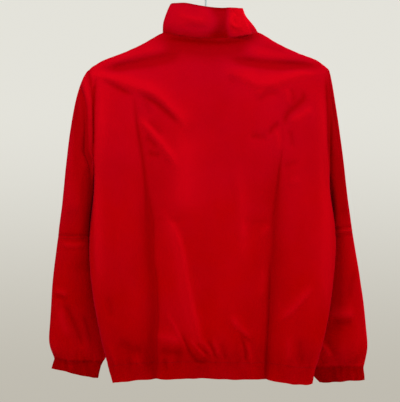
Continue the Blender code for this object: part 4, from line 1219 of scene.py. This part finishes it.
def in_order(edges):
    """The same edges, sorted into unbroken runs."""
    at_point = defaultdict(list)
    for item in edges:
        for end in ends_of_edge[item[0]]:
            at_point[int(end)].append(item)
    left = dict(edges)
    starts = [p for p, meeting in at_point.items() if len(meeting) == 1] + list(at_point)
    runs = []
    for start in starts:
        run = []
        point = start
        while True:
            onward = [item for item in at_point[point] if item[0] in left]
            if not onward:
                break
            item = onward[0]
            del left[item[0]]
            run.append(item)
            ends = ends_of_edge[item[0]]
            point = int(ends[1] if ends[0] == point else ends[0])
        if run:
            runs.append(run)
    return runs


print("edges of the cloth:", len(faces_of_edge))


# %% Places along a row
def row_beside(run, inset):
    """A line of points at a distance from a run of seam edges, on their own panel."""
    line = []
    for edge, face in run:
        first, second = points[ends_of_edge[edge]]
        middle = (first + second) / 2
        along = (second - first) / np.linalg.norm(second - first)
        inward = points[corners[face]].mean(0) - middle
        inward -= along * (inward @ along)
        line.append(middle + inward / np.linalg.norm(inward) * inset)
    return np.array(line)


def spaced(line, pitch):
    """Places at an even pitch along a line, each with the direction of the line there."""
    line = np.array(line)
    steps = np.linalg.norm(np.diff(line, axis=0), axis=1)
    travelled = np.concatenate([[0], np.cumsum(steps)])
    for distance in np.arange(pitch / 2, travelled[-1], pitch):
        at = [np.interp((distance - pitch / 4, distance, distance + pitch / 4),
                        travelled, line[:, axis]) for axis in range(3)]
        before, place, after = (Vector(column) for column in zip(*at))
        yield place, (after - before).normalized()


def standing(place, along, outward):
    """A matrix for a piece whose Y runs along a line and whose Z points off the surface."""
    across = along.cross(outward).normalized()
    outward = across.cross(along)
    turned = Matrix((across, along, outward)).transposed().to_4x4()
    return Matrix.Translation(place) @ turned


print("stitch pitch in mm:", round(STITCH_PITCH / MM, 1))

# %% Thread
THREAD_TONES = (coloured(0.24, 0.0, 0.001), coloured(0.31, 0.0, 0.002))

thread_finish, thread_shader, tree = plain_material("thread", THREAD_TONES[0], 0.5)
twist = add_node(tree, "ShaderNodeTexWave", {"Vector": solid_place(tree), "Scale": 900.0},
                 bands_direction="DIAGONAL")
bump = add_node(tree, "ShaderNodeBump",
                {"Height": twist.outputs["Fac"], "Strength": 0.3, "Distance": 0.0001})
tree.links.new(bump.outputs[0], thread_shader.inputs["Normal"])
thread_shader.inputs["Specular IOR Level"].default_value = 0.1
thread_tone = blend_colours(tree, twist.outputs["Fac"], *THREAD_TONES)
tree.links.new(thread_tone, thread_shader.inputs["Base Color"])
print("thread:", thread_finish.name)

# %% Stitches
stitches = defaultdict(bmesh.new)
counts = defaultdict(int)
for row in STITCH_ROWS:
    for run in in_order(seam_edges(row.panel, row.other)):
        for inset in row.insets:
            for place, along in spaced(row_beside(run, inset), STITCH_PITCH):
                hit, outward, _, _ = surface.find_nearest(place)
                size = Matrix.Diagonal((*STITCH_SIZE, 1))
                bmesh.ops.create_uvsphere(
                    stitches[row.panel], u_segments=6, v_segments=4, radius=0.5,
                    matrix=standing(hit, along, outward) @ size,
                )
                counts[row.panel] += 1
stitching = {}
for panel, bm in stitches.items():
    stitching[panel] = finish_object("stitching_" + panel, bm, [thread_finish])
    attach(stitching[panel], "jacket")
print("stitches:", dict(counts))

# %% Thickness, and what each panel was cut from
Cut = namedtuple("Cut", "panel width length area thickness held")
CUTS = [
    # the pattern piece's greatest width and length, its area, and the cloth's thickness in mm
    Cut("back", 0.58, 0.71, 0.345, 0.9, "hung"),
    Cut("front_left", 0.31, 0.69, 0.165, 0.9, "hung"),
    Cut("front_right", 0.31, 0.69, 0.165, 0.9, "hung"),
    Cut("sleeve_upper_left", 0.46, 0.34, 0.074, 0.9, "hung"),
    Cut("sleeve_upper_right", 0.46, 0.33, 0.062, 0.9, "hung"),
    Cut("sleeve_lower_left", 0.37, 0.28, 0.090, 0.9, "hung"),
    Cut("sleeve_lower_right", 0.37, 0.30, 0.094, 0.9, "hung"),
    Cut("cuff_left", 0.24, 0.032, 0.0072, 1.8, "gathered"),
    Cut("cuff_right", 0.24, 0.032, 0.0072, 1.8, "gathered"),
    Cut("hem_band", 1.00, 0.037, 0.0370, 1.8, "gathered"),
    Cut("collar", 0.46, 0.068, 0.0270, 2.2, "hung"),
]

for cut in CUTS:
    obj = pieces[cut.panel]
    round_the_edge = read(obj.data.loops, "edge_index", 1, np.int32)
    faces_at = np.bincount(round_the_edge, minlength=len(obj.data.edges))
    obj.data.edges.foreach_set("use_edge_sharp", faces_at == 1)
    wall = obj.modifiers.new("thickness", "SOLIDIFY")
    wall.thickness = cut.thickness * MM
    wall.offset = -1
    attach(obj, "jacket")
    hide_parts(cut.panel)
print("panels with thickness:", len(CUTS))

# %% [markdown]
# ## Zip
#
# The zip closes the front from the hem to the top of the collar. Its two woven tapes lie
# behind the fronts' edges, and a row of small blunt teeth from each side meets in the middle.
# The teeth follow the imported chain: a ray finds its face at each height, and the teeth stand
# along that line at an even pitch, left and right in turn.

# %% Tapes
def merged_copy(node):
    """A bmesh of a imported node's shape, with its loose triangles joined up."""
    bm = bmesh.new()
    bm.from_mesh(frame["nodes"][node].data)
    bmesh.ops.remove_doubles(bm, verts=bm.verts, dist=SAME_POINT)
    bmesh.ops.dissolve_limit(bm, angle_limit=math.radians(0.5), verts=bm.verts, edges=bm.edges)
    return bm


for side in SIDES:
    node = "zip_tape_" + side
    tape = finish_object("woven_tape_" + side, merged_copy(node), [tape_cloth])
    tape.data.shade_flat()
    layer = tape.data.uv_layers.new(name="pattern")
    for loop in tape.data.loops:
        place = tape.data.vertices[loop.vertex_index].co
        layer.data[loop.index].uv = (place.x, place.z)
    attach(tape, "jacket")
    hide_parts(node)
print("tapes: 2")

# %% Teeth
TOOTH_PITCH = 1.3 * MM      # from a tooth to the next one on the other side
TOOTH_SIZE = (3.4 * MM, 0.95 * MM, 1.5 * MM)
TOOTH_SHIFT = 1.2 * MM      # of each tooth's middle to its own side
TOOTH_SINK = 0.5 * MM       # of its middle below the chain's face
TOOTH_BEVEL = 0.25 * MM
CHAIN_STEP = 2 * MM         # height between the rays that find the chain's face
NYLON_TONES = (coloured(0.30, 0.001, 0.003), coloured(0.42, 0.001, 0.006))

chain_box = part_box("zip_chain")
chain = bmesh.new()
chain.from_mesh(frame["nodes"]["zip_chain"].data)
chain_tree = BVHTree.FromBMesh(chain)
chain.free()
line = []
for z in np.arange(chain_box[0].z + MM, chain_box[1].z - 0.5 * MM, CHAIN_STEP):
    hit = chain_tree.ray_cast(Vector((JACKET_X, -1, z)), Vector((0, 1, 0)))
    if hit[0] is not None:
        line.append(hit[0])
bm = bmesh.new()
for number, (place, along) in enumerate(spaced(line, TOOTH_PITCH)):
    outward = Vector((0, -along.z, along.y))
    shift = TOOTH_SHIFT if number % 2 else -TOOTH_SHIFT
    middle = place + Vector((shift, 0, 0)) - outward * TOOTH_SINK
    bmesh.ops.create_cube(
        bm, size=1.0,
        matrix=standing(middle, along, outward) @ Matrix.Diagonal((*TOOTH_SIZE, 1)),
    )
bmesh.ops.bevel(bm, geom=bm.edges[:], offset=TOOTH_BEVEL, segments=1, profile=0.5,
                affect="EDGES", material=-1)
tooth_finish = drifting("red_nylon", NYLON_TONES, 3 * MM, 0.35)
teeth = finish_object("zip_teeth", bm, [tooth_finish])
teeth.data.shade_flat()
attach(teeth, "jacket")
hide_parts("zip_chain")
print("teeth:", number + 1)

# %% Metal parts of the zip
NICKEL_TONES = (coloured(0.60, 0.60, 0.61), coloured(0.65, 0.65, 0.65))
EDGE_ROUNDING = 0.18 * MM
SHARP_EDGE = math.radians(30)

metal = drifting("satin_nickel", NICKEL_TONES, 1.2 * MM, 0.3, (0.28, 0.36), metallic=1.0)
for node, body in (("zip_slider", "jacket"), ("zip_pull", "pull_tab"), ("zip_box", "jacket")):
    bm = merged_copy(node)
    sharp = [edge for edge in bm.edges if edge.calc_face_angle(0) > SHARP_EDGE]
    bmesh.ops.bevel(bm, geom=sharp, offset=EDGE_ROUNDING, segments=2, profile=0.5,
                    affect="EDGES", material=-1)
    part = finish_object(node + "_metal", bm, [metal])
    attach(part, body)
    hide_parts(node)
print("metal parts: 3")

# %% [markdown]
# ## Hanger
#
# The hanger is a bent plastic tube with a wire hook. From behind, only the hook's stem shows;
# from the front, a little of the tube shows through the neck. Each is a merged copy of its packed
# solid, rounded by a Subdivision Surface. The sharp edges round its ends are creased, so that the
# ends stay flat and the wire keeps its full length.

# %% Hanger
WIRE_TONES = (coloured(0.33, 0.41, 0.39), coloured(0.40, 0.48, 0.46))
PLASTIC_TONES = (coloured(0.66, 0.67, 0.65), coloured(0.73, 0.74, 0.72))
CAP_ANGLE = math.radians(60)    # an edge this sharp runs round the end of a tube

wire = drifting("dull_wire", WIRE_TONES, 6 * MM, 0.5, metallic=0.3)
plastic = drifting("pale_plastic", PLASTIC_TONES, 20 * MM, 0.35, (0.30, 0.42))
for node, finish, slot in (
    ("hanger_hook", wire, "hook_steel"),
    ("hanger_arms", plastic, "hanger_plastic"),
):
    bm = merged_copy(node)
    crease_layer = bm.edges.layers.float.new("crease_edge")
    for edge in bm.edges:
        if edge.calc_face_angle(0) > CAP_ANGLE:
            edge[crease_layer] = 1.0
    part = finish_object(node + "_round", bm, [finish])
    rounded = part.modifiers.new("rounded", "SUBSURF")
    rounded.levels = 2
    rounded.render_levels = 2
    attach(part, "jacket")
    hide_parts(node)
print("hanger parts: 2")

visual_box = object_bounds()
sizes = {"cad": [list(corner) for corner in cad_box], "visual": [list(corner) for corner in visual_box]}
for label, box in sizes.items():
    print(label, [[round(value, 4) for value in corner] for corner in box])
